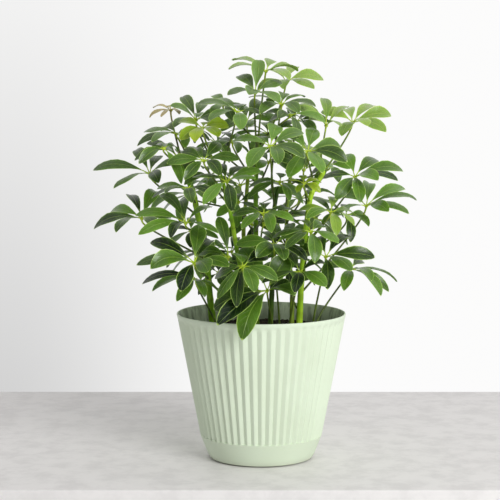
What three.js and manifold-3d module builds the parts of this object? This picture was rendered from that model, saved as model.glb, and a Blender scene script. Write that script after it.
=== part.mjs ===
// A young umbrella plant in a round pleated pot, standing on a table.
// Millimetres, +Z up, +X to the right of the usual view and +Y away from it.
// The origin is the centre of the pot's flat underside.

import * as THREE from "three";
import { mergeVertices } from "three/addons/utils/BufferGeometryUtils.js";
import Module from "manifold-3d";

const wasm = await Module();
wasm.setup();

// Pot: one moulded piece with a smooth foot, a pleated wall and a plain rim
const POT_HEIGHT = 164;
const RIM_RADIUS = 95;
const RIM_BAND = 4.5;
const FOOT_RADIUS = 58.7;
const FOOT_TOP_RADIUS = 68.8;
const FOOT_HEIGHT = 26.5;
const PLEATS = 56;
const PLEAT_DEPTH = 1.9;
const PLEAT_RUNOUT = 1.2;
const WALL = 2.7;
const FLOOR = 4;
const FOOT_SIDES = 28;

// Soil: a filled core with a lumpy top, a little below the rim
const SOIL_TOP = 145;
const SOIL_SIDES = 28;
const SOIL_LUMP = 1.6;
const SOIL_DROP = 2;
const SOIL_CROWN = 1;
const SEAT_GAP = 0.3;
const HOLE_SIDES = 8;

// Canes: the plant's own upright stems
const CANE_SIDES = 8;
const CANE_STEPS = 9;
const CANE_TAPER = 0.28;
const CANE_WAIST = 0.94;
const CANE_FOOT = 118;
const SPROUT_FOOT = 130;
const SPROUT_TOP = 151;

// Compound leaf: a hub on a long stalk, with a ring of leaflets around it
const HUB_RADIUS = 2.8;
const HUB_HALF_HEIGHT = 1.0;
const HUB_SECTOR = 0.42;
const LIGHT_WAY = new THREE.Vector3(0.15, -0.8, 0.6).normalize();
const LIGHT_PULL = 0.75;
const STALK_RADIUS = 1.0;
const STALK_FOOT_RADIUS = 1.5;
const STALK_SIDES = 4;
const STALK_STEPS = 5;
const STALK_RISE_ANGLE = 0.8;
const STALK_NECK = 0.18;
const STALK_TOP = 3;
const BLADE_THICKNESS = 0.8;
const BLADE_ARCH = 0.15;
const BLADE_ROLL = 0.42;
const BREADTH_SPREAD = 0.1;
const STEM_WIDTH = 1.4;

// A blade's outline, as powers in its breadth formula
const WIDEST_POWER = 1.15;
const BLUNTNESS = 0.7;

// Where a blade is measured across: part of its length, and part of its full breadth
const BLADE_STATIONS = [
  { along: 0.47, across: 0.86 },
  { along: 0.83, across: 0.88 },
];
const STEM_PART = 0.22;

// How the leaflets of a leaf on the far side of the plant differ from an even fan
const FAN_TURN = 10;
const FAN_FALL = 14;
const FAN_LENGTH = 0.16;
const FAN_LOPSIDED = 0.1;

// Clearances kept between neighbouring leaves, as the radius around each sample point
const BLADE_BUBBLE = 3.1;
const STALK_BUBBLE = 2.4;
const HUB_BUBBLE = 4.2;
const CANE_MARGIN = 1.6;
const BLADE_SAMPLES = 9;
const STALK_SPACING = 3;
const RIM_BUBBLE = 3.2;
const RIM_SAMPLES = 90;
const OWN_LEAF_FREE = 24;
const HUB_FREE = 8;
const FOOT_FREE = 14;
const BROAD_HALF = 5.2;
const CANE_SPACING = 4;
const SWING_COST = 1.3;
const SHORTENING_COST = 90;
const SWAYS = [0, 8, -8, 16, -16, 26, -26, 36, -36];

const CANES = {
  left: {
    radius: 4.0,
    path: [[-54, -6, 150], [-58, -12, 191], [-63, -20, 247], [-70, -24, 275], [-76, -26, 303],
      [-92, -20, 334]],
  },
  slim: {
    radius: 2.9,
    path: [[-18, -26, 150], [-20, -30, 204], [-26, -34, 232], [-31, -37, 262], [-37, -40, 293],
      [-48, -30, 331]],
  },
  middle: {
    radius: 3.1,
    path: [[-5, 12, 150], [-6, 8, 200], [-6, 0, 267], [-6, 0, 302], [-5, 0, 328], [-1, 5, 357]],
  },
  dark: {
    radius: 3.0,
    path: [[10, -12, 150], [13, -16, 214], [14, -20, 248], [14, -22, 281], [18, -22, 303]],
  },
  rear_right: {
    radius: 2.7,
    path: [[35, 20, 150], [35, 24, 190], [31, 30, 231], [29, 38, 271], [33, 40, 311], [39, 38, 345]],
  },
  bright: {
    radius: 3.6,
    path: [[42, -22, 150], [44, -24, 198], [47, -26, 237], [50, -30, 270], [55, -32, 300], [67, -30, 321]],
  },
  rear: {
    radius: 2.8,
    path: [[-14, 48, 150], [-18, 54, 200], [-20, 62, 250], [-16, 68, 300], [-14, 66, 330]],
  },
};

const MATURE = "mature";
const FRESH = "fresh";
const YOUNG = "young";
const BRONZE = "bronze";

// Every compound leaf: its hub, where its stalk grows from (a cane at a height, or the
// soil at a place), the breadth of its leaflets, and how far right of, behind and above
// the hub each leaflet's tip lies
const LEAVES = [
  {
    name: "leaf_front_1", hub: [6, -62, 196], soil: [12, -44], breadth: 24, tone: MATURE,
    tips: [[-28, -58, -44], [-56, -50, -44], [-60, -8, -18], [-28, 20, 46], [14, 40, 34], [38, -8, 6],
      [34, -34, -8]],
  },
  {
    name: "leaf_left_1", hub: [-72, -80, 228], cane: "left", at: 205, breadth: 18, tone: MATURE,
    tips: [[-7, 34, 40], [-49, 20, 22], [-62, -8, -6], [-50, -32, -19], [-12, -46, -14], [17, -44, -10],
      [36, -22, 3], [18, 36, 27]],
  },
  {
    name: "leaf_left_2", hub: [-132, -20, 271], cane: "left", at: 227, breadth: 15, tone: MATURE,
    tips: [[-56, 4, -10], [-41, 34, 5], [-18, 42, 26], [14, 44, 21], [-26, -46, -9], [33, 20, 5],
      [18, -40, -12]],
  },
  {
    name: "leaf_left_3", hub: [-125, 10, 319], cane: "left", at: 276, breadth: 14, tone: MATURE,
    tips: [[-66, 6, 6], [-38, -38, -13], [-20, 38, 28], [8, 36, 30], [34, -4, 16], [12, -44, -6]],
  },
  {
    name: "leaf_right_1", hub: [118, 10, 283], cane: "bright", at: 192, breadth: 14, tone: MATURE,
    tips: [[59, 4, 9], [48, 32, 24], [46, -30, -5], [22, -44, -8], [-38, -26, 0], [8, 40, 26],
      [-30, 32, 10]],
  },
  {
    name: "leaf_right_2", hub: [103, -20, 317], cane: "bright", at: 247, breadth: 15, tone: MATURE,
    tips: [[-12, 38, 23], [-38, 12, 7], [28, 38, 19], [56, 10, 8], [46, -26, -1], [24, -42, -12],
      [3, -42, -25],
      [-22, -34, -14]],
  },
  {
    name: "leaf_right_3", hub: [103, 25, 376], cane: "bright", at: 312, breadth: 15, tone: FRESH,
    tips: [[-36, 14, 14], [-8, 44, 15], [-15, -40, -13], [26, 36, 14], [46, 10, 5], [36, -28, -9],
      [14, -44, -13]],
  },
  {
    name: "leaf_right_4", hub: [70, -45, 231], soil: [57, -26], breadth: 16, tone: MATURE,
    tips: [[-6, 38, 22], [-34, 14, 6], [30, 32, 22], [54, -6, 1], [26, -40, -10], [0, -40, -26]],
  },
  {
    name: "leaf_right_5", hub: [100, 5, 212], soil: [62, -8], breadth: 13, tone: MATURE,
    tips: [[56, 18, -15], [44, -14, -23], [32, -36, -30], [20, -42, -18], [-8, -44, -14],
      [-28, -24, 4], [18, 44, 4], [-24, 30, 6]],
  },
  {
    name: "leaf_crown_1", hub: [5, 0, 433], cane: "middle", at: 344, breadth: 15, tone: FRESH,
    tips: [[-42, -16, 3], [-38, 26, 13], [10, 44, 12], [37, 18, 2], [26, -36, -8]],
  },
  {
    name: "leaf_crown_2", hub: [28, 30, 422], cane: "middle", at: 352, breadth: 15, tone: FRESH,
    tips: [[44, 12, 3], [30, -34, -2], [-4, -42, -8], [-33, -18, -9], [-20, 38, 14], [12, 42, 13]],
  },
  {
    name: "leaf_crown_3", hub: [-7, -30, 409], cane: "middle", at: 338, breadth: 16, tone: MATURE,
    tips: [[-30, -22, -2], [-19, 30, 20], [2, 26, 28], [-8, -42, -7], [26, -26, -6], [30, 18, 6]],
  },
  {
    name: "leaf_crown_4", hub: [22, -20, 396], cane: "dark", at: 296, breadth: 13, tone: MATURE,
    tips: [[2, 40, 13], [27, 28, 11], [38, -8, -1], [-22, 32, 11], [18, -38, -8], [-24, -32, -9],
      [-40, 2, 2]],
  },
  {
    name: "leaf_crown_5", hub: [-26, -45, 388], cane: "slim", at: 322, breadth: 15, tone: MATURE,
    tips: [[-44, -8, 11], [-30, -32, -8], [4, -38, -18], [-30, 32, 12], [4, 42, 12], [34, 12, 4]],
  },
  {
    name: "leaf_bronze", hub: [-102, 30, 390], cane: "left", at: 329, breadth: 7.5, tone: BRONZE,
    tips: [[-22, 14, 4], [-25, -8, -7], [-10, -24, -7], [11, -22, -4], [18, 12, 1], [-4, 26, 4]],
  },
  {
    name: "leaf_left_4", hub: [-94, -10, 364], cane: "left", at: 316, breadth: 13, tone: MATURE,
    tips: [[-38, 18, 2], [-44, -14, -11], [-20, 38, 5], [-26, -34, -12], [12, -42, -13], [38, -18, -6],
      [26, 32, 6]],
  },
  {
    name: "leaf_left_5", hub: [-95, 35, 337], cane: "left", at: 304, breadth: 16, tone: MATURE,
    tips: [[-38, -2, 9], [-28, 42, 4], [4, 52, 6], [34, 36, 4], [42, -4, 0], [-26, -36, -6],
      [16, -40, -8]],
  },
  {
    name: "leaf_left_6", hub: [-82, -60, 269], cane: "left", at: 252, breadth: 13, tone: MATURE,
    tips: [[-54, -4, 9], [-50, -28, -15], [-14, -52, -10], [-9, 40, 30], [-30, 40, 18], [28, 34, 16],
      [36, -28, -8]],
  },
  {
    name: "leaf_left_7", hub: [-79, -75, 307], cane: "left", at: 290, breadth: 11.5, tone: MATURE,
    tips: [[-34, 16, -1], [-38, -14, -8], [-24, -34, -12], [6, -42, -12], [30, -24, -4], [18, 28, 6]],
  },
  {
    name: "leaf_left_8", hub: [-72, -35, 205], soil: [-50, -26], breadth: 13, tone: MATURE,
    tips: [[-63, 12, -4], [-47, -26, -9], [-24, -44, -16], [-26, 46, -2], [12, -44, -12],
      [36, 22, -4]],
  },
  {
    name: "leaf_centre_1", hub: [-73, 15, 379], cane: "slim", at: 326, breadth: 13, tone: MATURE,
    tips: [[-18, 32, 20], [8, 34, 24], [-34, -6, 6], [-24, -34, -6], [4, -42, 0], [30, -26, -3],
      [32, 16, 8]],
  },
  {
    name: "leaf_centre_2", hub: [-64, -40, 371], cane: "slim", at: 312, breadth: 15, tone: YOUNG,
    tips: [[-24, -14, -15], [18, -24, -9], [-4, -32, -13], [-26, 16, 0], [6, 28, 6], [29, 4, 0]],
  },
  {
    name: "leaf_centre_3", hub: [-62, -60, 336], cane: "slim", at: 300, breadth: 13, tone: MATURE,
    tips: [[-4, 34, 21], [-28, 24, 16], [24, 26, 16], [-20, -32, -18], [38, -8, 2], [18, -34, -14],
      [-40, -6, -2]],
  },
  {
    name: "leaf_centre_4", hub: [-37, -85, 315], cane: "slim", at: 284, breadth: 14, tone: MATURE,
    tips: [[-36, 14, 11], [-10, 34, 23], [16, 32, 26], [36, 12, 12], [30, -30, 5], [-40, -12, -10],
      [-24, -34, -22], [5, -38, -24]],
  },
  {
    name: "leaf_centre_5", hub: [9, -85, 352], cane: "dark", at: 286, breadth: 16, tone: MATURE,
    tips: [[8, 42, 25], [36, 20, 15], [36, -24, -10], [8, -44, -22], [-18, -40, -12], [-36, -22, -30],
      [-40, 10, 7], [-18, 38, 14]],
  },
  {
    name: "leaf_centre_6", hub: [49, -60, 346], cane: "bright", at: 308, breadth: 18, tone: MATURE,
    tips: [[10, 34, 24], [-26, 28, 19], [38, 20, 6], [42, -18, -10], [14, -44, -20], [-20, -40, -16],
      [-44, -6, -4]],
  },
  {
    name: "leaf_centre_7", hub: [39, 15, 377], cane: "rear_right", at: 316, breadth: 11.5, tone: MATURE,
    tips: [[20, -36, -8], [-8, 38, 16], [38, 2, 0], [24, 34, 10], [-36, 12, 4], [-22, -32, -8]],
  },
  {
    name: "leaf_centre_8", hub: [72, 0, 373], cane: "bright", at: 318, breadth: 13, tone: FRESH,
    tips: [[-34, 22, 20], [-40, -8, 8], [-22, -38, 3], [14, -42, 0], [26, 30, 13], [-4, 42, 16]],
  },
  {
    name: "leaf_centre_9", hub: [-16, 25, 377], cane: "middle", at: 326, breadth: 15, tone: MATURE,
    tips: [[-10, 38, 19], [14, 36, 20], [-38, 14, 8], [38, 8, 8], [-28, -34, -4], [18, -40, -6]],
  },
  {
    name: "leaf_centre_10", hub: [-32, 10, 354], cane: "middle", at: 312, breadth: 11.5, tone: MATURE,
    tips: [[-12, 38, 10], [16, 36, 12], [-38, 10, 2], [-26, -32, -8], [6, -42, -10], [36, -12, -6]],
  },
  {
    name: "leaf_middle_1", hub: [20, -30, 312], cane: "dark", at: 272, breadth: 11.5, tone: MATURE,
    tips: [[-30, 22, -2], [-32, -18, -20], [30, 20, -20], [10, -40, -18], [36, -12, -12], [4, 40, 6]],
  },
  {
    name: "leaf_middle_2", hub: [2, -70, 280], cane: "middle", at: 256, breadth: 13, tone: MATURE,
    tips: [[32, -20, -5], [36, 18, 2], [-34, 14, -2], [-24, -36, -12], [8, -44, -16], [2, 40, 8]],
  },
  {
    name: "leaf_middle_3", hub: [75, -50, 280], cane: "bright", at: 246, breadth: 11.5, tone: FRESH,
    tips: [[30, 26, -4], [24, -36, -10], [4, -42, -21], [-28, -32, -4], [-32, 18, 12], [2, 40, 16]],
  },
  {
    name: "leaf_middle_4", hub: [52, -88, 262], cane: "bright", at: 202, breadth: 15, tone: MATURE,
    tips: [[28, -32, -8], [18, 32, 8], [-6, 38, 26], [-42, -4, -5], [-28, -34, -14], [4, -44, -18]],
  },
  {
    name: "leaf_middle_5", hub: [14, -62, 246], soil: [20, -34], breadth: 16, tone: MATURE,
    tips: [[-20, -36, -10], [-14, 36, 16], [-42, 2, 0], [30, 28, 8], [38, -18, -8], [10, -46, -16]],
  },
  {
    name: "leaf_middle_6", hub: [44, -2, 292], cane: "rear_right", at: 262, breadth: 13, tone: MATURE,
    tips: [[-34, -20, 2], [2, -44, -8], [32, -32, -6], [42, 0, -2], [-36, 16, 4], [-12, 40, 8],
      [24, 36, 6]],
  },
  {
    name: "leaf_middle_7", hub: [27, -14, 240], cane: "dark", at: 210, breadth: 14, tone: MATURE,
    tips: [[6, 32, 24], [24, 10, 20], [30, -26, 2], [18, -40, -12], [-30, -26, -4], [-24, 34, 8],
      [38, -4, -6]],
  },
  {
    name: "leaf_centre_11", hub: [47, -8, 324], cane: "bright", at: 284, breadth: 14, tone: MATURE,
    tips: [[-38, -14, 7], [-26, -38, 0], [2, -46, -8], [34, -30, 2], [42, 8, 6], [14, 40, 14],
      [-22, 36, 12]],
  },
  {
    name: "leaf_young", hub: [45, -62, 312], cane: "bright", at: 292, breadth: 8, tone: YOUNG,
    tips: [[18, -10, -9], [-8, -20, -8], [20, 8, 2], [-20, 4, 0], [-4, 20, 8], [14, 18, 6]],
  },
  {
    name: "leaf_front_2", hub: [-20, -96, 226], cane: "slim", at: 196, breadth: 15, tone: MATURE,
    tips: [[-36, -22, -26], [-12, -30, -36], [12, -42, -22], [38, -16, -8], [28, 28, 10],
      [-6, 40, 14], [-40, 12, 2]],
  },
  {
    name: "leaf_front_3", hub: [-36, -56, 232], cane: "slim", at: 216, breadth: 16, tone: MATURE,
    tips: [[-6, 16, 44], [-40, 10, 14], [-34, -24, 0], [-14, -44, -8], [30, -30, -4], [30, 26, 14]],
  },
  {
    name: "leaf_front_4", hub: [40, -78, 218], soil: [30, -48], breadth: 16, tone: MATURE,
    tips: [[28, -28, -12], [36, 14, 0], [-6, -44, -16], [-40, -14, -10], [-24, 32, 6], [10, 42, 8]],
  },
  {
    name: "leaf_rear_1", hub: [-52, 72, 352], cane: "rear", at: 316, breadth: 15, tone: MATURE,
    fan: { leaflets: 7, reach: 50, lean: [120, 24], turn: 10, dip: 8 },
  },
  {
    name: "leaf_rear_2", hub: [8, 96, 362], cane: "rear", at: 326, breadth: 15, tone: MATURE,
    fan: { leaflets: 7, reach: 52, lean: [80, 22], turn: 30, dip: 8 },
  },
  {
    name: "leaf_rear_3", hub: [34, 88, 346], cane: "rear_right", at: 334, breadth: 15, tone: FRESH,
    fan: { leaflets: 7, reach: 42, lean: [50, 26], turn: 5, dip: 6 },
  },
  {
    name: "leaf_rear_4", hub: [-82, 78, 292], cane: "rear", at: 270, breadth: 15, tone: MATURE,
    fan: { leaflets: 7, reach: 54, lean: [140, 28], turn: 20, dip: 10 },
  },
  {
    name: "leaf_rear_5", hub: [-24, 122, 300], cane: "rear", at: 284, breadth: 15, tone: MATURE,
    fan: { leaflets: 7, reach: 54, lean: [100, 30], turn: 0, dip: 10 },
  },
  {
    name: "leaf_rear_6", hub: [46, 116, 284], cane: "rear", at: 256, breadth: 15, tone: MATURE,
    fan: { leaflets: 7, reach: 54, lean: [70, 30], turn: 40, dip: 10 },
  },
  {
    name: "leaf_rear_7", hub: [66, 80, 262], cane: "rear_right", at: 232, breadth: 15, tone: MATURE,
    fan: { leaflets: 7, reach: 46, lean: [35, 28], turn: 15, dip: 12 },
  },
  {
    name: "leaf_rear_8", hub: [-64, 92, 222], cane: "rear", at: 196, breadth: 15, tone: MATURE,
    fan: { leaflets: 7, reach: 52, lean: [130, 30], turn: 25, dip: 12 },
  },
  {
    name: "leaf_rear_9", hub: [26, 96, 212], cane: "rear_right", at: 190, breadth: 15, tone: MATURE,
    fan: { leaflets: 7, reach: 50, lean: [80, 30], turn: 10, dip: 12 },
  },
];

const TONES = {
  [MATURE]: new THREE.MeshStandardMaterial({ color: "#2f5a24", roughness: 0.36, metalness: 0 }),
  [FRESH]: new THREE.MeshStandardMaterial({ color: "#4f8030", roughness: 0.38, metalness: 0 }),
  [YOUNG]: new THREE.MeshStandardMaterial({ color: "#86a83a", roughness: 0.4, metalness: 0 }),
  [BRONZE]: new THREE.MeshStandardMaterial({ color: "#6d6a3a", roughness: 0.42, metalness: 0 }),
};
const CANE_MATERIAL = new THREE.MeshStandardMaterial({ color: "#7d9a45", roughness: 0.5, metalness: 0 });
const POT_MATERIAL = new THREE.MeshStandardMaterial({ color: "#d9e7cf", roughness: 0.55, metalness: 0 });
const SOIL_MATERIAL = new THREE.MeshStandardMaterial({ color: "#2b241d", roughness: 0.95, metalness: 0 });

const UP = new THREE.Vector3(0, 0, 1);
const TURN = 2 * Math.PI;
const DEGREE = Math.PI / 180;

const vec = ([x, y, z]) => new THREE.Vector3(x, y, z);

// A small repeatable source of draws between 0 and 1
function draws(seed) {
  const SPAN = 4294967296;
  let state = seed;
  return () => {
    state = (state * 1664525 + 1013904223) % SPAN;
    return state / SPAN;
  };
}

// Sample points of everything placed so far, each with a bubble that others stay out of
class Space {
  constructor() {
    this.bubbles = [];
  }

  add(points, radius, owner) {
    for (const point of points) {
      this.bubbles.push({ point, radius, owner });
    }
  }

  // The room left round the given points: below zero where a bubble is entered
  room(points, radius, ignores) {
    let least = Infinity;
    for (const bubble of this.bubbles) {
      if (ignores(bubble)) continue;
      for (const point of points) {
        const gap = point.distanceTo(bubble.point) - radius - bubble.radius;
        if (gap < least) least = gap;
      }
    }
    return least;
  }
}

// A closed shell put together face by face, seen anticlockwise from outside
class Shell {
  constructor() {
    this.points = [];
    this.faces = [];
  }

  point(p) {
    this.points.push(p.x, p.y, p.z);
    return this.points.length / 3 - 1;
  }

  face(...corners) {
    for (let i = 2; i < corners.length; i += 1) {
      this.faces.push(corners[0], corners[i - 1], corners[i]);
    }
  }

  geometry() {
    const geometry = new THREE.BufferGeometry();
    geometry.setAttribute("position", new THREE.Float32BufferAttribute(this.points, 3));
    geometry.setIndex(this.faces);
    return geometry;
  }
}

// The wall between two rings of points with any number in each, both going the same way
// round; every ring point is {index, angle}
function joinRings(shell, upper, lower) {
  let i = 0;
  let j = 0;
  const angle = (ring, k) => ring[k % ring.length].angle + TURN * Math.floor(k / ring.length);
  while (i < upper.length || j < lower.length) {
    const a = upper[i % upper.length].index;
    const b = lower[j % lower.length].index;
    const nextUpper = angle(upper, i + 1) <= angle(lower, j + 1);
    if (j >= lower.length || (i < upper.length && nextUpper)) {
      shell.face(a, b, upper[(i + 1) % upper.length].index);
      i += 1;
    } else {
      shell.face(a, b, lower[(j + 1) % lower.length].index);
      j += 1;
    }
  }
}

// Points of a cubic curve from its four handles
function cubicPoints(handles, steps) {
  const curve = new THREE.CubicBezierCurve3(...handles);
  return curve.getPoints(steps);
}

// The smooth line of a cane, straight and upright where it stands in the soil
function caneCurve(cane) {
  const points = cane.path.map(vec);
  return new THREE.CatmullRomCurve3(points, false, "centripetal");
}

// A cane's rings from its foot in the soil to its tip: a taper, with slight swellings
// where leaves once grew
function caneRings(cane) {
  const curve = caneCurve(cane);
  const start = curve.getPoint(0);
  const foot = new THREE.Vector3(start.x, start.y, CANE_FOOT);
  const rings = [{ centre: foot, radius: cane.radius * CANE_WAIST }];
  for (let i = 0; i <= CANE_STEPS; i += 1) {
    const taper = 1 - (CANE_TAPER * i) / CANE_STEPS;
    const swell = i % 2 === 1 ? 1 : CANE_WAIST;
    rings.push({ centre: curve.getPoint(i / CANE_STEPS), radius: cane.radius * taper * swell });
  }
  return rings;
}

// A cane's middle, radius and direction at a given height
function caneAt(cane, height) {
  const rings = caneRings(cane);
  const above = Math.max(1, rings.findIndex(({ centre }) => centre.z > height));
  const [lower, upper] = [rings[above - 1], rings[above]];
  const share = (height - lower.centre.z) / (upper.centre.z - lower.centre.z);
  return {
    axis: lower.centre.clone().lerp(upper.centre, share),
    radius: THREE.MathUtils.lerp(lower.radius, upper.radius, share),
    along: upper.centre.clone().sub(lower.centre).normalize(),
  };
}

// Which way a leaf's upper side looks: square to the ring of its leaflet tips, then
// turned towards the window in front, a little to the right and above
function facingOf(tips) {
  const ring = [...tips].sort((a, b) => Math.atan2(a.y, a.x) - Math.atan2(b.y, b.x));
  const sum = new THREE.Vector3();
  ring.forEach((tip, i) => {
    sum.add(new THREE.Vector3().crossVectors(tip, ring[(i + 1) % ring.length]));
  });
  return sum.normalize().addScaledVector(LIGHT_WAY, LIGHT_PULL).normalize();
}

// Leaflet tips spread round a leaning hub, with small seeded differences
function fanTips({ leaflets, reach, lean, turn, dip }, draw) {
  const [towards, tilt] = lean.map((angle) => angle * DEGREE);
  const axis = new THREE.Vector3(Math.cos(towards), Math.sin(towards), 0);
  axis.multiplyScalar(Math.sin(tilt)).addScaledVector(UP, Math.cos(tilt));
  const right = new THREE.Vector3().crossVectors(UP, axis).normalize();
  const ahead = new THREE.Vector3().crossVectors(right, axis);
  const tips = [];
  for (let i = 0; i < leaflets; i += 1) {
    const angle = (turn + (360 * i) / leaflets + FAN_TURN * (draw() - 0.5)) * DEGREE;
    const fall = (dip + FAN_FALL * (draw() - 0.5)) * DEGREE;
    const spread = 1 + FAN_LENGTH * (draw() - 0.5);
    const length = reach * spread * (1 + FAN_LOPSIDED * Math.cos(angle));
    const flat = ahead.clone().multiplyScalar(Math.cos(angle)).addScaledVector(right, Math.sin(angle));
    tips.push(flat.multiplyScalar(length * Math.cos(fall)).addScaledVector(axis, -length * Math.sin(fall)));
  }
  return tips;
}

// One leaflet: its arched line and the breadth vector across it
function leafletForm(hub, tip, facing, breadth, roll) {
  const length = tip.length();
  const along = tip.clone().normalize();
  const bend = hub.clone().addScaledVector(tip, 0.5).addScaledVector(facing, 2 * BLADE_ARCH * length);
  const level = new THREE.Vector3().crossVectors(along, facing).normalize();
  const steep = new THREE.Vector3().crossVectors(level, along);
  const side = level.multiplyScalar(Math.cos(roll)).addScaledVector(steep, Math.sin(roll));
  const line = new THREE.QuadraticBezierCurve3(hub, bend, hub.clone().add(tip));
  return { line, side, breadth };
}

// How broad a leaflet is at a part of its length: widest past the middle, blunt at the tip
function breadthAt(form, along) {
  if (along <= STEM_PART) return STEM_WIDTH;
  const part = (along - STEM_PART) / (1 - STEM_PART);
  return form.breadth * Math.sin(Math.PI * Math.min(1, part * 0.96 + 0.04) ** WIDEST_POWER) ** BLUNTNESS;
}

// Points over a leaflet's blade that stand for it when room is measured
function leafletSamples(form) {
  const points = [];
  for (let i = 1; i <= BLADE_SAMPLES; i += 1) {
    const along = i / BLADE_SAMPLES;
    const middle = form.line.getPoint(along);
    const half = breadthAt(form, Math.min(along, 0.95)) / 2;
    points.push(middle);
    if (along > STEM_PART + 0.05) {
      const shares = half > BROAD_HALF ? [-1, -0.5, 0.5, 1] : [-1, 1];
      for (const share of shares) {
        points.push(middle.clone().addScaledVector(form.side, share * half));
      }
    }
  }
  return points;
}

// The ways in which a leaflet may be bent clear of its neighbours, least bend first:
// degrees raised, degrees swung round, and part of its reach
function bends() {
  const list = [];
  for (const reach of [1, 0.9, 0.78, 0.68]) {
    for (const raise of [0, 7, -7, 14, -14, 22, -22, 30, -30, 40]) {
      for (const swing of [0, 6, -6, 12, -12, 20, -20]) {
        const cost = Math.abs(raise) + SWING_COST * Math.abs(swing) + SHORTENING_COST * (1 - reach);
        list.push({ raise, swing, reach, cost });
      }
    }
  }
  return list.sort((a, b) => a.cost - b.cost);
}

const BENDS = bends();

// A tip after one of those bends
function bentTip(tip, facing, { raise, swing, reach }) {
  const level = new THREE.Vector3().crossVectors(tip, facing).normalize();
  const bent = tip.clone().multiplyScalar(reach);
  return bent.applyAxisAngle(level, raise * DEGREE).applyAxisAngle(facing, swing * DEGREE);
}

// Where a leaf's stalk starts, the way it leaves, and the way its flat foot faces
function stalkFoot(leaf, hub) {
  if (leaf.soil) {
    return { foot: new THREE.Vector3(leaf.soil[0], leaf.soil[1], SPROUT_TOP), leave: UP, seat: UP };
  }
  const { axis, radius, along } = caneAt(CANES[leaf.cane], leaf.at);
  const out = hub.clone().sub(axis);
  out.addScaledVector(along, -out.dot(along)).normalize();
  const foot = axis.addScaledVector(out, radius + SEAT_GAP);
  const leave = out.clone().multiplyScalar(Math.cos(STALK_RISE_ANGLE));
  leave.addScaledVector(along, Math.sin(STALK_RISE_ANGLE));
  return { foot, leave, seat: out };
}

// A leaf stalk's line, from the hub down to the cane or into the soil
function stalkPoints(leaf, facing, sway) {
  const hub = vec(leaf.hub);
  const down = facing.clone().multiplyScalar(-1);
  const { foot, leave } = stalkFoot(leaf, hub);
  const span = hub.distanceTo(foot);
  const aside = new THREE.Vector3().crossVectors(hub.clone().sub(foot), UP);
  aside.normalize().multiplyScalar(sway);
  const handles = [
    hub.clone().addScaledVector(down, STALK_TOP),
    hub.clone().addScaledVector(down, span * STALK_NECK).add(aside),
    foot.clone().addScaledVector(leave, span * STALK_NECK).add(aside),
    foot,
  ];
  const points = cubicPoints(handles, STALK_STEPS);
  if (leaf.soil) {
    points.push(new THREE.Vector3(leaf.soil[0], leaf.soil[1], SPROUT_FOOT));
  }
  return points;
}

// Evenly spaced points along a row of straight pieces
function pointsAlong(corners, spacing) {
  const points = [];
  for (let i = 1; i < corners.length; i += 1) {
    const count = Math.max(1, Math.round(corners[i].distanceTo(corners[i - 1]) / spacing));
    for (let k = 0; k < count; k += 1) {
      points.push(corners[i - 1].clone().lerp(corners[i], k / count));
    }
  }
  return points;
}

// Settles every leaf's stalk and leaflets so that no two leaves cross
function settleLeaves() {
  const space = new Space();
  for (const [name, cane] of Object.entries(CANES)) {
    const centres = caneRings(cane).map(({ centre }) => centre);
    space.add(pointsAlong(centres, CANE_SPACING), cane.radius + CANE_MARGIN, name);
  }
  for (let i = 0; i < RIM_SAMPLES; i += 1) {
    const angle = (i / RIM_SAMPLES) * TURN;
    const x = (RIM_RADIUS - WALL / 2) * Math.cos(angle);
    const y = (RIM_RADIUS - WALL / 2) * Math.sin(angle);
    const rim = [POT_HEIGHT, POT_HEIGHT - 2 * RIM_BUBBLE].map((z) => new THREE.Vector3(x, y, z));
    space.add(rim, RIM_BUBBLE, "pot");
  }
  const leaves = LEAVES.map((leaf, index) => {
    const draw = draws(7919 * (index + 3));
    const tips = leaf.tips ? leaf.tips.map(vec) : fanTips(leaf.fan, draw);
    return { leaf, draw, tips, facing: facingOf(tips), hub: vec(leaf.hub) };
  });
  for (const entry of leaves) {
    space.add([entry.hub], HUB_BUBBLE, entry.leaf.name);
  }
  for (const entry of leaves) {
    const { leaf, facing, hub } = entry;
    let best;
    for (const sway of SWAYS) {
      const points = stalkPoints(leaf, facing, sway);
      const samples = pointsAlong(points, STALK_SPACING).filter((p) => p.distanceTo(hub) > HUB_FREE);
      const foot = points[STALK_STEPS];
      const room = space.room(samples, STALK_BUBBLE, (bubble) => (
        bubble.owner === leaf.name || bubble.point.distanceTo(foot) < FOOT_FREE
      ));
      if (!best || room > best.room) best = { room, points, samples };
      if (room > 0) break;
    }
    entry.stalk = best.points;
    entry.seat = stalkFoot(leaf, hub).seat;
    space.add(best.samples, STALK_BUBBLE, leaf.name);
  }
  for (const entry of leaves) {
    const { leaf, facing, hub, draw } = entry;
    entry.forms = [];
    for (const tip of entry.tips) {
      const roll = BLADE_ROLL * (2 * draw() - 1);
      const breadth = leaf.breadth * (1 + BREADTH_SPREAD * (2 * draw() - 1));
      for (const bend of BENDS) {
        const form = leafletForm(hub, bentTip(tip, facing, bend), facing, breadth, roll);
        const samples = leafletSamples(form);
        const room = space.room(samples, BLADE_BUBBLE, (bubble) => (
          bubble.owner === leaf.name && bubble.point.distanceTo(hub) < OWN_LEAF_FREE
        ));
        if (room > 0) {
          entry.forms.push(form);
          space.add(samples, BLADE_BUBBLE, leaf.name);
          break;
        }
      }
    }
  }
  return leaves;
}

// The four corners across a blade: upper left, upper right, lower right, lower left
function bladeSection(shell, form, along, breadth) {
  const middle = form.line.getPoint(along);
  const ahead = form.line.getTangent(along);
  const normal = new THREE.Vector3().crossVectors(form.side, ahead).normalize();
  const half = form.side.clone().multiplyScalar(breadth / 2);
  const lift = normal.multiplyScalar(BLADE_THICKNESS / 2);
  return [
    middle.clone().sub(half).add(lift),
    middle.clone().add(half).add(lift),
    middle.clone().add(half).sub(lift),
    middle.clone().sub(half).sub(lift),
  ].map((p) => shell.point(p));
}

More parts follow.
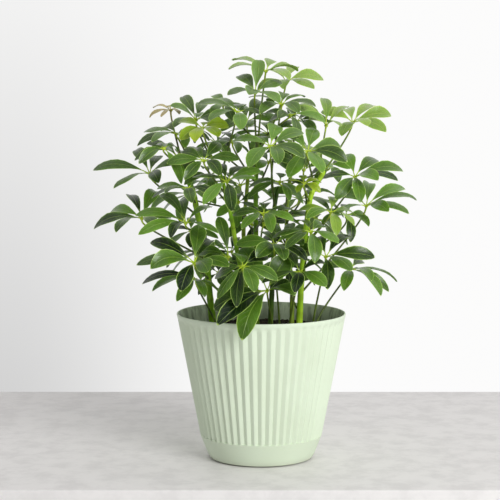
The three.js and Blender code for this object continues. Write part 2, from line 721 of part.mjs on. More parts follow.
// The walls of a leaflet, from its root on the hub to its tip
function addLeaflet(shell, form, root) {
  const sections = [root, bladeSection(shell, form, STEM_PART, STEM_WIDTH)];
  for (const { along, across } of BLADE_STATIONS) {
    sections.push(bladeSection(shell, form, along, form.breadth * across));
  }
  for (let i = 1; i < sections.length; i += 1) {
    const [a, b, c, d] = sections[i - 1];
    const [e, f, g, h] = sections[i];
    shell.face(a, b, f, e);
    shell.face(d, g, c);
    shell.face(d, h, g);
    shell.face(b, c, g, f);
    shell.face(a, e, h, d);
  }
  const [a, b, c, d] = sections[sections.length - 1];
  const tip = shell.point(form.line.getPoint(1));
  shell.face(a, b, tip);
  shell.face(d, tip, c);
  shell.face(b, c, tip);
  shell.face(a, tip, d);
}

// A whole compound leaf as one closed body: hub, leaflets and stalk
function leafGeometry({ hub, facing, forms, stalk, seat }) {
  const shell = new Shell();
  const right = new THREE.Vector3().crossVectors(UP, facing);
  if (right.length() < 0.05) right.set(1, 0, 0);
  right.normalize();
  const ahead = new THREE.Vector3().crossVectors(facing, right);
  const around = (v) => Math.atan2(v.dot(ahead), v.dot(right));

  const placed = forms.map((form) => ({ form, angle: around(form.line.v2.clone().sub(hub)) }));
  placed.sort((a, b) => a.angle - b.angle);
  const count = placed.length;
  placed.forEach((item, i) => {
    const before = i > 0 ? placed[i - 1].angle : placed[count - 1].angle - TURN;
    const after = i < count - 1 ? placed[i + 1].angle : placed[0].angle + TURN;
    item.low = Math.max(item.angle - HUB_SECTOR, (before + item.angle) / 2);
    item.high = Math.min(item.angle + HUB_SECTOR, (after + item.angle) / 2);
  });

  const ringPoint = (angle, height) => {
    const p = hub.clone().addScaledVector(right, HUB_RADIUS * Math.cos(angle));
    return p.addScaledVector(ahead, HUB_RADIUS * Math.sin(angle)).addScaledVector(facing, height);
  };
  const ring = [];
  const corner = (angle) => {
    const top = shell.point(ringPoint(angle, HUB_HALF_HEIGHT));
    const bottom = shell.point(ringPoint(angle, -HUB_HALF_HEIGHT));
    ring.push({ angle, top, bottom });
    return ring[ring.length - 1];
  };
  placed.forEach((item, i) => {
    const last = ring[ring.length - 1];
    const touches = i > 0 && item.low - placed[i - 1].high < 1e-6;
    item.from = touches ? last : corner(item.low);
    const closes = i === count - 1 && placed[0].low + TURN - item.high < 1e-6;
    item.to = closes ? ring[0] : corner(item.high);
  });
  ring.forEach((start, i) => {
    const end = ring[(i + 1) % ring.length];
    const owner = placed.find((item) => item.from === start);
    if (owner) {
      addLeaflet(shell, owner.form, [end.top, start.top, start.bottom, end.bottom]);
    } else {
      shell.face(start.top, start.bottom, end.bottom, end.top);
    }
  });
  shell.face(...ring.map((item) => item.top));

  let upper = ring.map(({ angle, bottom }) => ({ index: bottom, angle }));
  let across = right.clone();
  stalk.forEach((middle, i) => {
    const isFoot = i === stalk.length - 1;
    const last = stalk[Math.max(i - 1, 0)];
    const up = isFoot ? seat : last.clone().sub(stalk[i + 1]).normalize();
    across.addScaledVector(up, -across.dot(up)).normalize();
    const other = new THREE.Vector3().crossVectors(up, across);
    const radius = THREE.MathUtils.lerp(STALK_RADIUS, STALK_FOOT_RADIUS, i / (stalk.length - 1));
    const lower = [];
    for (let k = 0; k < STALK_SIDES; k += 1) {
      const angle = upper[0].angle + (k * TURN) / STALK_SIDES;
      const p = middle.clone().addScaledVector(across, radius * Math.cos(angle));
      lower.push({ index: shell.point(p.addScaledVector(other, radius * Math.sin(angle))), angle });
    }
    joinRings(shell, upper, lower);
    upper = lower;
  });
  shell.face(...upper.map(({ index }) => index).reverse());
  return shell.geometry();
}

// A cane: a many-sided stem, upright up to where it leaves the soil
function caneGeometry(cane) {
  const shell = new Shell();
  const rings = caneRings(cane);
  let before;
  const across = new THREE.Vector3(1, 0, 0);
  rings.forEach(({ centre, radius }, i) => {
    const next = rings[Math.min(i + 1, rings.length - 1)].centre;
    const up = i < 2 ? UP : next.clone().sub(rings[i - 1].centre).normalize();
    across.addScaledVector(up, -across.dot(up)).normalize();
    const other = new THREE.Vector3().crossVectors(up, across);
    const ring = [];
    for (let k = 0; k < CANE_SIDES; k += 1) {
      const angle = (k / CANE_SIDES) * TURN;
      const p = centre.clone().addScaledVector(across, radius * Math.cos(angle));
      ring.push(shell.point(p.addScaledVector(other, radius * Math.sin(angle))));
    }
    if (before) {
      for (let k = 0; k < CANE_SIDES; k += 1) {
        const n = (k + 1) % CANE_SIDES;
        shell.face(before[k], before[n], ring[n], ring[k]);
      }
    } else {
      shell.face(...[...ring].reverse());
    }
    before = ring;
  });
  shell.face(...before);
  return shell.geometry();
}

// The radius of the pot's outside at a height: the foot below, the wall above
function wallAt(z) {
  if (z < FOOT_HEIGHT) {
    return FOOT_RADIUS + ((FOOT_TOP_RADIUS - FOOT_RADIUS) * z) / FOOT_HEIGHT;
  }
  const slope = (RIM_RADIUS - FOOT_TOP_RADIUS) / (POT_HEIGHT - FOOT_HEIGHT);
  return FOOT_TOP_RADIUS + slope * (z - FOOT_HEIGHT);
}

// The pot: rings from the middle of its floor out over the rim and down the pleated wall,
// with every other line of the pleats folded in
function potGeometry() {
  const shell = new Shell();
  const ring = (radius, z, sides, fold = 0) => {
    const points = [];
    for (let k = 0; k < sides; k += 1) {
      const angle = (k / sides) * TURN;
      const r = radius - (k % 2) * fold;
      const p = new THREE.Vector3(r * Math.cos(angle), r * Math.sin(angle), z);
      points.push({ index: shell.point(p), angle });
    }
    return points;
  };
  const pleatLow = FOOT_HEIGHT + PLEAT_RUNOUT;
  const pleatHigh = POT_HEIGHT - RIM_BAND - PLEAT_RUNOUT;
  const rimLow = POT_HEIGHT - RIM_BAND;
  const rings = [
    ring(wallAt(FLOOR) - WALL, FLOOR, SOIL_SIDES),
    ring(FOOT_TOP_RADIUS - WALL, FOOT_HEIGHT, SOIL_SIDES),
    ring(RIM_RADIUS - WALL, POT_HEIGHT, SOIL_SIDES),
    ring(RIM_RADIUS, POT_HEIGHT, PLEATS),
    ring(wallAt(rimLow), rimLow, 2 * PLEATS),
    ring(wallAt(pleatHigh), pleatHigh, 2 * PLEATS, PLEAT_DEPTH),
    ring(wallAt(pleatLow), pleatLow, 2 * PLEATS, PLEAT_DEPTH),
    ring(FOOT_TOP_RADIUS, FOOT_HEIGHT, 2 * PLEATS),
    ring(FOOT_RADIUS, 0, FOOT_SIDES),
  ];
  for (let i = 1; i < rings.length; i += 1) {
    joinRings(shell, rings[i - 1], rings[i]);
  }
  const inner = rings[0].map(({ index }) => index);
  const foot = rings[rings.length - 1].map(({ index }) => index);
  const floorMiddle = shell.point(new THREE.Vector3(0, 0, FLOOR));
  const footMiddle = shell.point(new THREE.Vector3(0, 0, 0));
  inner.forEach((a, k) => shell.face(floorMiddle, a, inner[(k + 1) % inner.length]));
  foot.forEach((a, k) => shell.face(footMiddle, foot[(k + 1) % foot.length], a));
  return shell.geometry();
}

// A closed geometry as a solid that can be cut
function solidOf(geometry) {
  const bare = geometry.clone();
  bare.deleteAttribute("normal");
  bare.deleteAttribute("uv");
  const merged = mergeVertices(bare, 1e-4);
  const corners = merged.getIndex().array;
  const kept = [];
  for (let i = 0; i < corners.length; i += 3) {
    const [a, b, c] = [corners[i], corners[i + 1], corners[i + 2]];
    if (a !== b && b !== c && c !== a) kept.push(a, b, c);
  }
  const vertProperties = new Float32Array(merged.getAttribute("position").array);
  const triVerts = new Uint32Array(kept);
  return new wasm.Manifold(new wasm.Mesh({ numProp: 3, vertProperties, triVerts }));
}

function geometryOf(solid) {
  const mesh = solid.getMesh();
  const geometry = new THREE.BufferGeometry();
  geometry.setAttribute("position", new THREE.Float32BufferAttribute(mesh.vertProperties, 3));
  geometry.setIndex([...mesh.triVerts]);
  return geometry;
}

// A plain upright hole for a stem
function holeGeometry(x, y, radius, bottom) {
  const height = SOIL_TOP + 20 - bottom;
  const hole = new THREE.CylinderGeometry(radius, radius, height, HOLE_SIDES);
  hole.rotateX(Math.PI / 2);
  hole.translate(x, y, bottom + height / 2);
  return hole;
}

// The soil: a core that fills the pot, lumpy on top, with a hole for every stem in it
function soilGeometry() {
  const inside = (z) => wallAt(z) - WALL - 2 * SEAT_GAP;
  const bottom = FLOOR + SEAT_GAP;
  const edge = SOIL_TOP - SOIL_DROP;
  const profile = [
    [0, bottom],
    [inside(bottom), bottom],
    [inside(FOOT_HEIGHT), FOOT_HEIGHT],
    [inside(edge), edge],
    [0.8 * inside(edge), SOIL_TOP],
    [0.45 * inside(edge), SOIL_TOP + SOIL_CROWN / 2],
    [0, SOIL_TOP + SOIL_CROWN],
  ].map(([r, z]) => new THREE.Vector2(r, z));
  const core = new THREE.LatheGeometry(profile, SOIL_SIDES);
  core.rotateX(Math.PI / 2);
  const positions = core.getAttribute("position");
  for (let i = 0; i < positions.count; i += 1) {
    const row = i % profile.length;
    if (row === 4 || row === 5) {
      const x = positions.getX(i);
      const y = positions.getY(i);
      const swell = Math.sin(x * 0.21 + 1) * Math.cos(y * 0.17);
      const crumb = 0.5 * Math.sin(x * 0.47 - y * 0.39);
      positions.setZ(i, positions.getZ(i) + SOIL_LUMP * (swell + crumb));
    }
  }
  let soil = solidOf(core);
  for (const cane of Object.values(CANES)) {
    const [x, y] = cane.path[0];
    const radius = (cane.radius + SEAT_GAP) / Math.cos(Math.PI / HOLE_SIDES);
    soil = soil.subtract(solidOf(holeGeometry(x, y, radius, CANE_FOOT - SEAT_GAP)));
  }
  for (const { soil: place } of LEAVES.filter((leaf) => leaf.soil)) {
    const radius = (STALK_FOOT_RADIUS + SEAT_GAP) / Math.cos(Math.PI / HOLE_SIDES);
    soil = soil.subtract(solidOf(holeGeometry(place[0], place[1], radius, SPROUT_FOOT - SEAT_GAP)));
  }
  return geometryOf(soil);
}

function part(name, geometry, material) {
  const mesh = new THREE.Mesh(geometry, material);
  mesh.name = name;
  return mesh;
}

const plant = new THREE.Group();
plant.add(part("pot", potGeometry(), POT_MATERIAL));
plant.add(part("soil", soilGeometry(), SOIL_MATERIAL));
for (const [name, cane] of Object.entries(CANES)) {
  plant.add(part(`cane_${name}`, caneGeometry(cane), CANE_MATERIAL));
}
for (const entry of settleLeaves()) {
  plant.add(part(entry.leaf.name, leafGeometry(entry), TONES[entry.leaf.tone]));
}

export default plant;
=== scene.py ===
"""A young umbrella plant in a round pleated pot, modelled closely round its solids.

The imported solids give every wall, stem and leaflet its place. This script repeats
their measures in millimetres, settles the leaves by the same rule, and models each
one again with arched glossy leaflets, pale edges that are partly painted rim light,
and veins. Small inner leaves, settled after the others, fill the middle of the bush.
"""

import logging
import math
from collections.abc import Callable, Iterator, Sequence
from contextlib import contextmanager
from dataclasses import dataclass, field
from enum import Enum

import bmesh
import bpy
import numpy as np
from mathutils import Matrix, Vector, noise


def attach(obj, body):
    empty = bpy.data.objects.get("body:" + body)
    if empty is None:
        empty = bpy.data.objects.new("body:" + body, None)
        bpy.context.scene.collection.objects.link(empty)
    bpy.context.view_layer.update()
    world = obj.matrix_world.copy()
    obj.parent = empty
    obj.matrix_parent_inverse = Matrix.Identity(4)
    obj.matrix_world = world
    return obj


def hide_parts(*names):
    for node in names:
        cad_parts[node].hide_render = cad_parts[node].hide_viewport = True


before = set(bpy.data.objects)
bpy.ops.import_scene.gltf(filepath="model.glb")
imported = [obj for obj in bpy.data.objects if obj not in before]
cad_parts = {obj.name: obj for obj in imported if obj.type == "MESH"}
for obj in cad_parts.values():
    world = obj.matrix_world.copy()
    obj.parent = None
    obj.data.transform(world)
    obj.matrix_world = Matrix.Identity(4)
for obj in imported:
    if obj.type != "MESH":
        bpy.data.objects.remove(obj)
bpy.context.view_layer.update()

log = logging.getLogger("plant")

Point = tuple[float, float, float]
Span = tuple[float, float]

METRE = 0.001
TURN = 2 * math.pi
UP = np.array([0.0, 0.0, 1.0])

# Pot and soil, in millimetres; PLEATS is a count
POT_HEIGHT = 164.0
RIM_RADIUS = 95.0
RIM_BAND = 4.5
FOOT_RADIUS = 58.7
FOOT_TOP_RADIUS = 68.8
FOOT_HEIGHT = 26.5
PLEATS = 56
WALL = 2.7
FLOOR = 4.0
SOIL_TOP = 145.0
SOIL_LUMP = 1.6
SEAT_GAP = 0.3

# Canes and stalks: lengths in millimetres, shares of a length or a radius, one angle in radians
CANE_STEPS = 9
CANE_TAPER = 0.28
CANE_WAIST = 0.94
CANE_FOOT = 118.0
SPROUT_TOP = 151.0
SPROUT_FOOT = 130.0
STALK_STEPS = 5
STALK_RISE_ANGLE = 0.8
STALK_NECK = 0.18
STALK_TOP = 3.0

# Leaflets: shares of their length or breadth, STEM_WIDTH in millimetres, BLADE_ROLL in radians
LIGHT_WAY = np.array([0.15, -0.8, 0.6]) / math.hypot(0.15, 0.8, 0.6)
LIGHT_PULL = 0.75
BLADE_ARCH = 0.15
BLADE_ROLL = 0.42
BREADTH_SPREAD = 0.1
STEM_WIDTH = 1.4
STEM_PART = 0.22
WIDEST_POWER = 1.15
BLUNTNESS = 0.7

# How far apart the settled pieces stay, in millimetres, and what bending a leaflet costs
BLADE_BUBBLE = 3.1
STALK_BUBBLE = 2.4
HUB_BUBBLE = 4.2
CANE_MARGIN = 1.6
RIM_BUBBLE = 3.2
RIM_SAMPLES = 90
BLADE_SAMPLES = 9
STALK_SPACING = 3.0
CANE_SPACING = 4.0
OWN_LEAF_FREE = 24.0
HUB_FREE = 8.0
FOOT_FREE = 14.0
NO_LEAF = -1
BROAD_HALF = 5.2
LEAF_REACH = 125.0
SWING_COST = 1.3
SHORTENING_COST = 90.0
SWAYS = (0, 8, -8, 16, -16, 26, -26, 36, -36)
REACHES = (1, 0.9, 0.78, 0.68)
RAISES = (0, 7, -7, 14, -14, 22, -22, 30, -30, 40)
SWINGS = (0, 6, -6, 12, -12, 20, -20)

# The leaves' finishes: side veins in a blade, and heights in metres where painted shade and light
# change the tone
VEINS_ALONG = 8.5
VEIN_SLANT = 1.9
LIT_HEIGHTS = (0.19, 0.34)
# Between these heights leaves pale: partly young growth, partly painted sheen and light
PALE_TOP_SHEEN_HEIGHTS = (0.32, 0.45)
TINT = "tint"

# Rows of a blade: the share of its length and of its half breadth
BLADE_ROWS = ((0.0, 0.06), (0.09, 0.20), (0.21, 0.46), (0.35, 0.77), (0.50, 0.98),
              (0.64, 1.02), (0.78, 0.88), (0.895, 0.58), (0.965, 0.28), (1.0, 0.05))

# The places of a leaf's three materials
UPPER_KIND, UNDER_KIND, STEM_KIND = range(3)

# How the leaflets of a fan differ from an even one, in degrees and shares of their length
FAN_TURN = 10.0
FAN_FALL = 14.0
FAN_LENGTH = 0.16
FAN_LOPSIDED = 0.1


class Tone(Enum):
    """The four ages of leaf colour, each with the record's name for it."""

    MATURE = "leaf_mature"
    FRESH = "leaf_fresh"
    YOUNG = "leaf_young"
    BRONZE = "leaf_bronze"


@dataclass(frozen=True)
class CanePlan:
    """One cane: its radius at the soil and the line that it follows."""

    name: str
    radius: float
    path: tuple[Point, ...]


@dataclass(frozen=True)
class FanPlan:
    """A ring of leaflets spread evenly round a leaning hub."""

    leaflets: int
    reach: float
    lean: Span
    turn: float
    dip: float


@dataclass(frozen=True)
class LeafPlan:
    """One compound leaf: its hub, what its stalk grows from, and its leaflet tips."""

    name: str
    hub: Point
    breadth: float
    tone: Tone = Tone.MATURE
    cane: str = ""
    at: float = 0.0
    soil: Span | tuple[()] = ()
    tips: tuple[Point, ...] = ()
    fan: FanPlan | None = None


CANES: tuple[CanePlan, ...] = (
    CanePlan("left", 4.0, (
        (-54, -6, 150), (-58, -12, 191), (-63, -20, 247), (-70, -24, 275), (-76, -26, 303),
        (-92, -20, 334),
    )),
    CanePlan("slim", 2.9, (
        (-18, -26, 150), (-20, -30, 204), (-26, -34, 232), (-31, -37, 262), (-37, -40, 293),
        (-48, -30, 331),
    )),
    CanePlan("middle", 3.1, (
        (-5, 12, 150), (-6, 8, 200), (-6, 0, 267), (-6, 0, 302), (-5, 0, 328), (-1, 5, 357),
    )),
    CanePlan("dark", 3.0, (
        (10, -12, 150), (13, -16, 214), (14, -20, 248), (14, -22, 281), (18, -22, 303),
    )),
    CanePlan("rear_right", 2.7, (
        (35, 20, 150), (35, 24, 190), (31, 30, 231), (29, 38, 271), (33, 40, 311), (39, 38, 345),
    )),
    CanePlan("bright", 3.6, (
        (42, -22, 150), (44, -24, 198), (47, -26, 237), (50, -30, 270), (55, -32, 300),
        (67, -30, 321),
    )),
    CanePlan("rear", 2.8, (
        (-14, 48, 150), (-18, 54, 200), (-20, 62, 250), (-16, 68, 300), (-14, 66, 330),
    )),
)

def fanned_leaves(group: str, rows: Sequence[tuple], fresh: Sequence[int] = ()
                  ) -> tuple[LeafPlan, ...]:
    """Plans a group of leaves with evenly spread leaflets, numbered from 1.

    Args:
        group: What their names start with.
        rows: Each leaf's hub, breadth, cane, height on the cane and measures of its fan.
        fresh: The numbers of the lighter, fresh ones.

    Returns:
        The plans, in the order of the rows.
    """
    return tuple(
        LeafPlan(f"{group}_{i}", hub, breadth, Tone.FRESH if i in fresh else Tone.MATURE,
                 cane, at, fan=FanPlan(*fan))
        for i, (hub, breadth, cane, at, *fan) in enumerate(rows, 1)
    )


LEAVES: tuple[LeafPlan, ...] = (
    LeafPlan("front_1", (6, -62, 196), 24, soil=(12, -44), tips=(
        (-28, -58, -44), (-56, -50, -44), (-60, -8, -18), (-28, 20, 46), (14, 40, 34),
        (38, -8, 6), (34, -34, -8),
    )),
    LeafPlan("left_1", (-72, -80, 228), 18, cane="left", at=205, tips=(
        (-7, 34, 40), (-49, 20, 22), (-62, -8, -6), (-50, -32, -19), (-12, -46, -14),
        (17, -44, -10), (36, -22, 3), (18, 36, 27),
    )),
    LeafPlan("left_2", (-132, -20, 271), 15, cane="left", at=227, tips=(
        (-56, 4, -10), (-41, 34, 5), (-18, 42, 26), (14, 44, 21), (-26, -46, -9), (33, 20, 5),
        (18, -40, -12),
    )),
    LeafPlan("left_3", (-125, 10, 319), 14, cane="left", at=276, tips=(
        (-66, 6, 6), (-38, -38, -13), (-20, 38, 28), (8, 36, 30), (34, -4, 16), (12, -44, -6),
    )),
    LeafPlan("right_1", (118, 10, 283), 14, cane="bright", at=192, tips=(
        (59, 4, 9), (48, 32, 24), (46, -30, -5), (22, -44, -8), (-38, -26, 0), (8, 40, 26),
        (-30, 32, 10),
    )),
    LeafPlan("right_2", (103, -20, 317), 15, cane="bright", at=247, tips=(
        (-12, 38, 23), (-38, 12, 7), (28, 38, 19), (56, 10, 8), (46, -26, -1), (24, -42, -12),
        (3, -42, -25), (-22, -34, -14),
    )),
    LeafPlan("right_3", (103, 25, 376), 15, Tone.FRESH, cane="bright", at=312, tips=(
        (-36, 14, 14), (-8, 44, 15), (-15, -40, -13), (26, 36, 14), (46, 10, 5), (36, -28, -9),
        (14, -44, -13),
    )),
    LeafPlan("right_4", (70, -45, 231), 16, soil=(57, -26), tips=(
        (-6, 38, 22), (-34, 14, 6), (30, 32, 22), (54, -6, 1), (26, -40, -10), (0, -40, -26),
    )),
    LeafPlan("right_5", (100, 5, 212), 13, soil=(62, -8), tips=(
        (56, 18, -15), (44, -14, -23), (32, -36, -30), (20, -42, -18), (-8, -44, -14),
        (-28, -24, 4), (18, 44, 4), (-24, 30, 6),
    )),
    LeafPlan("crown_1", (5, 0, 433), 15, Tone.FRESH, cane="middle", at=344, tips=(
        (-42, -16, 3), (-38, 26, 13), (10, 44, 12), (37, 18, 2), (26, -36, -8),
    )),
    LeafPlan("crown_2", (28, 30, 422), 15, Tone.FRESH, cane="middle", at=352, tips=(
        (44, 12, 3), (30, -34, -2), (-4, -42, -8), (-33, -18, -9), (-20, 38, 14), (12, 42, 13),
    )),
    LeafPlan("crown_3", (-7, -30, 409), 16, cane="middle", at=338, tips=(
        (-30, -22, -2), (-19, 30, 20), (2, 26, 28), (-8, -42, -7), (26, -26, -6), (30, 18, 6),
    )),
    LeafPlan("crown_4", (22, -20, 396), 13, cane="dark", at=296, tips=(
        (2, 40, 13), (27, 28, 11), (38, -8, -1), (-22, 32, 11), (18, -38, -8), (-24, -32, -9),
        (-40, 2, 2),
    )),
    LeafPlan("crown_5", (-26, -45, 388), 15, cane="slim", at=322, tips=(
        (-44, -8, 11), (-30, -32, -8), (4, -38, -18), (-30, 32, 12), (4, 42, 12), (34, 12, 4),
    )),
    LeafPlan("bronze", (-102, 30, 390), 7.5, Tone.BRONZE, cane="left", at=329, tips=(
        (-22, 14, 4), (-25, -8, -7), (-10, -24, -7), (11, -22, -4), (18, 12, 1), (-4, 26, 4),
    )),
    LeafPlan("left_4", (-94, -10, 364), 13, cane="left", at=316, tips=(
        (-38, 18, 2), (-44, -14, -11), (-20, 38, 5), (-26, -34, -12), (12, -42, -13),
        (38, -18, -6), (26, 32, 6),
    )),
    LeafPlan("left_5", (-95, 35, 337), 16, cane="left", at=304, tips=(
        (-38, -2, 9), (-28, 42, 4), (4, 52, 6), (34, 36, 4), (42, -4, 0), (-26, -36, -6),
        (16, -40, -8),
    )),
    LeafPlan("left_6", (-82, -60, 269), 13, cane="left", at=252, tips=(
        (-54, -4, 9), (-50, -28, -15), (-14, -52, -10), (-9, 40, 30), (-30, 40, 18),
        (28, 34, 16), (36, -28, -8),
    )),
    LeafPlan("left_7", (-79, -75, 307), 11.5, cane="left", at=290, tips=(
        (-34, 16, -1), (-38, -14, -8), (-24, -34, -12), (6, -42, -12), (30, -24, -4),
        (18, 28, 6),
    )),
    LeafPlan("left_8", (-72, -35, 205), 13, soil=(-50, -26), tips=(
        (-63, 12, -4), (-47, -26, -9), (-24, -44, -16), (-26, 46, -2), (12, -44, -12),
        (36, 22, -4),
    )),
    LeafPlan("centre_1", (-73, 15, 379), 13, cane="slim", at=326, tips=(
        (-18, 32, 20), (8, 34, 24), (-34, -6, 6), (-24, -34, -6), (4, -42, 0), (30, -26, -3),
        (32, 16, 8),
    )),
    LeafPlan("centre_2", (-64, -40, 371), 15, Tone.YOUNG, cane="slim", at=312, tips=(
        (-24, -14, -15), (18, -24, -9), (-4, -32, -13), (-26, 16, 0), (6, 28, 6), (29, 4, 0),
    )),
    LeafPlan("centre_3", (-62, -60, 336), 13, cane="slim", at=300, tips=(
        (-4, 34, 21), (-28, 24, 16), (24, 26, 16), (-20, -32, -18), (38, -8, 2), (18, -34, -14),
        (-40, -6, -2),
    )),
    LeafPlan("centre_4", (-37, -85, 315), 14, cane="slim", at=284, tips=(
        (-36, 14, 11), (-10, 34, 23), (16, 32, 26), (36, 12, 12), (30, -30, 5), (-40, -12, -10),
        (-24, -34, -22), (5, -38, -24),
    )),
    LeafPlan("centre_5", (9, -85, 352), 16, cane="dark", at=286, tips=(
        (8, 42, 25), (36, 20, 15), (36, -24, -10), (8, -44, -22), (-18, -40, -12),
        (-36, -22, -30), (-40, 10, 7), (-18, 38, 14),
    )),
    LeafPlan("centre_6", (49, -60, 346), 18, cane="bright", at=308, tips=(
        (10, 34, 24), (-26, 28, 19), (38, 20, 6), (42, -18, -10), (14, -44, -20),
        (-20, -40, -16), (-44, -6, -4),
    )),
    LeafPlan("centre_7", (39, 15, 377), 11.5, cane="rear_right", at=316, tips=(
        (20, -36, -8), (-8, 38, 16), (38, 2, 0), (24, 34, 10), (-36, 12, 4), (-22, -32, -8),
    )),
    LeafPlan("centre_8", (72, 0, 373), 13, Tone.FRESH, cane="bright", at=318, tips=(
        (-34, 22, 20), (-40, -8, 8), (-22, -38, 3), (14, -42, 0), (26, 30, 13), (-4, 42, 16),
    )),
    LeafPlan("centre_9", (-16, 25, 377), 15, cane="middle", at=326, tips=(
        (-10, 38, 19), (14, 36, 20), (-38, 14, 8), (38, 8, 8), (-28, -34, -4), (18, -40, -6),
    )),
    LeafPlan("centre_10", (-32, 10, 354), 11.5, cane="middle", at=312, tips=(
        (-12, 38, 10), (16, 36, 12), (-38, 10, 2), (-26, -32, -8), (6, -42, -10), (36, -12, -6),
    )),
    LeafPlan("middle_1", (20, -30, 312), 11.5, cane="dark", at=272, tips=(
        (-30, 22, -2), (-32, -18, -20), (30, 20, -20), (10, -40, -18), (36, -12, -12),
        (4, 40, 6),
    )),
    LeafPlan("middle_2", (2, -70, 280), 13, cane="middle", at=256, tips=(
        (32, -20, -5), (36, 18, 2), (-34, 14, -2), (-24, -36, -12), (8, -44, -16), (2, 40, 8),
    )),
    LeafPlan("middle_3", (75, -50, 280), 11.5, Tone.FRESH, cane="bright", at=246, tips=(
        (30, 26, -4), (24, -36, -10), (4, -42, -21), (-28, -32, -4), (-32, 18, 12), (2, 40, 16),
    )),
    LeafPlan("middle_4", (52, -88, 262), 15, cane="bright", at=202, tips=(
        (28, -32, -8), (18, 32, 8), (-6, 38, 26), (-42, -4, -5), (-28, -34, -14), (4, -44, -18),
    )),
    LeafPlan("middle_5", (14, -62, 246), 16, soil=(20, -34), tips=(
        (-20, -36, -10), (-14, 36, 16), (-42, 2, 0), (30, 28, 8), (38, -18, -8), (10, -46, -16),
    )),
    LeafPlan("middle_6", (44, -2, 292), 13, cane="rear_right", at=262, tips=(
        (-34, -20, 2), (2, -44, -8), (32, -32, -6), (42, 0, -2), (-36, 16, 4), (-12, 40, 8),
        (24, 36, 6),
    )),
    LeafPlan("middle_7", (27, -14, 240), 14, cane="dark", at=210, tips=(
        (6, 32, 24), (24, 10, 20), (30, -26, 2), (18, -40, -12), (-30, -26, -4), (-24, 34, 8),
        (38, -4, -6),
    )),
    LeafPlan("centre_11", (47, -8, 324), 14, cane="bright", at=284, tips=(
        (-38, -14, 7), (-26, -38, 0), (2, -46, -8), (34, -30, 2), (42, 8, 6), (14, 40, 14),
        (-22, 36, 12),
    )),
    LeafPlan("young", (45, -62, 312), 8, Tone.YOUNG, cane="bright", at=292, tips=(
        (18, -10, -9), (-8, -20, -8), (20, 8, 2), (-20, 4, 0), (-4, 20, 8), (14, 18, 6),
    )),
    LeafPlan("front_2", (-20, -96, 226), 15, cane="slim", at=196, tips=(
        (-36, -22, -26), (-12, -30, -36), (12, -42, -22), (38, -16, -8), (28, 28, 10),
        (-6, 40, 14), (-40, 12, 2),
    )),
    LeafPlan("front_3", (-36, -56, 232), 16, cane="slim", at=216, tips=(
        (-6, 16, 44), (-40, 10, 14), (-34, -24, 0), (-14, -44, -8), (30, -30, -4), (30, 26, 14),
    )),
    LeafPlan("front_4", (40, -78, 218), 16, soil=(30, -48), tips=(
        (28, -28, -12), (36, 14, 0), (-6, -44, -16), (-40, -14, -10), (-24, 32, 6), (10, 42, 8),
    )),
) + fanned_leaves("rear", (
    ((-52, 72, 352), 15, "rear", 316, 7, 50, (120, 24), 10, 8),
    ((8, 96, 362), 15, "rear", 326, 7, 52, (80, 22), 30, 8),
    ((34, 88, 346), 15, "rear_right", 334, 7, 42, (50, 26), 5, 6),
    ((-82, 78, 292), 15, "rear", 270, 7, 54, (140, 28), 20, 10),
    ((-24, 122, 300), 15, "rear", 284, 7, 54, (100, 30), 0, 10),
    ((46, 116, 284), 15, "rear", 256, 7, 54, (70, 30), 40, 10),
    ((66, 80, 262), 15, "rear_right", 232, 7, 46, (35, 28), 15, 12),
    ((-64, 92, 222), 15, "rear", 196, 7, 52, (130, 30), 25, 12),
    ((26, 96, 212), 15, "rear_right", 190, 7, 50, (80, 30), 10, 12),
), fresh=(3,))

INNER_LEAVES: tuple[LeafPlan, ...] = fanned_leaves("inner", (
    ((8, 8, 332), 11, "middle", 306, 6, 32, (270, 34), 30, 8),
    ((-10, 34, 260), 12, "rear", 236, 6, 34, (270, 30), 0, 8),
    ((20, 44, 264), 12, "rear_right", 238, 6, 34, (280, 30), 25, 8),
    ((-48, 6, 208), 12, "middle", 184, 6, 32, (250, 30), 15, 8),
    ((96, 18, 272), 11, "bright", 232, 6, 32, (300, 34), 35, 8),
    ((-26, 24, 286), 11, "middle", 252, 6, 30, (262, 34), 5, 8),
    ((-80, 40, 252), 11, "left", 220, 6, 32, (258, 32), 12, 8),
    ((3, -15, 264), 12, "middle", 223, 7, 28, (340, 36), 50, 16),
    ((80, 66, 326), 12, "rear_right", 306, 6, 28, (230, 28), 50, 16),
    ((-58, -14, 318), 10, "slim", 291, 6, 36, (290, 20), 0, 10),
    ((31, -34, 385), 12, "middle", 353, 7, 36, (310, 20), 40, 16),
    ((-42, 7, 396), 11, "middle", 353, 6, 28, (310, 28), 0, 6),
    ((-34, 66, 226), 11, "middle", 182, 6, 40, (230, 28), 40, 16),
    ((28, -19, 216), 10, "bright", 172, 7, 28, (290, 36), 50, 16),
    ((-106, -44, 349), 11, "left", 327, 6, 40, (290, 20), 10, 16),
))

CANE_OF: dict[str, CanePlan] = {plan.name: plan for plan in CANES}


class Draws:
    """A small repeatable source of numbers between 0 and 1."""

    SPAN = 4294967296

    def __init__(self, seed: int) -> None:
        """Starts the row of draws at a seed."""
        self.state = seed

    def next(self) -> float:
        """Returns the next draw."""
        self.state = (self.state * 1664525 + 1013904223) % self.SPAN
        return self.state / self.SPAN

    def between(self, low: float, high: float) -> float:
        """Returns the next draw, spread between two values."""
        return low + (high - low) * self.next()

    def rows(self, count: int, low: float, high: float) -> np.ndarray:
        """Returns rows of three draws, spread between two values."""
        return np.array([[self.between(low, high) for _ in range(3)] for _ in range(count)])


def unit(vector: np.ndarray) -> np.ndarray:
    """Returns a vector at length 1."""
    return vector / np.linalg.norm(vector)


def turned(vector: np.ndarray, axis: np.ndarray, angle: float) -> np.ndarray:
    """Turns a vector about an axis of length 1.

    Args:
        vector: What is turned.
        axis: What it turns about.
        angle: How far, in degrees.

    Returns:
        The turned vector.
    """
    cosine, sine = math.cos(math.radians(angle)), math.sin(math.radians(angle))
    across = np.cross(axis, vector) * sine
    return vector * cosine + across + axis * (axis @ vector) * (1 - cosine)


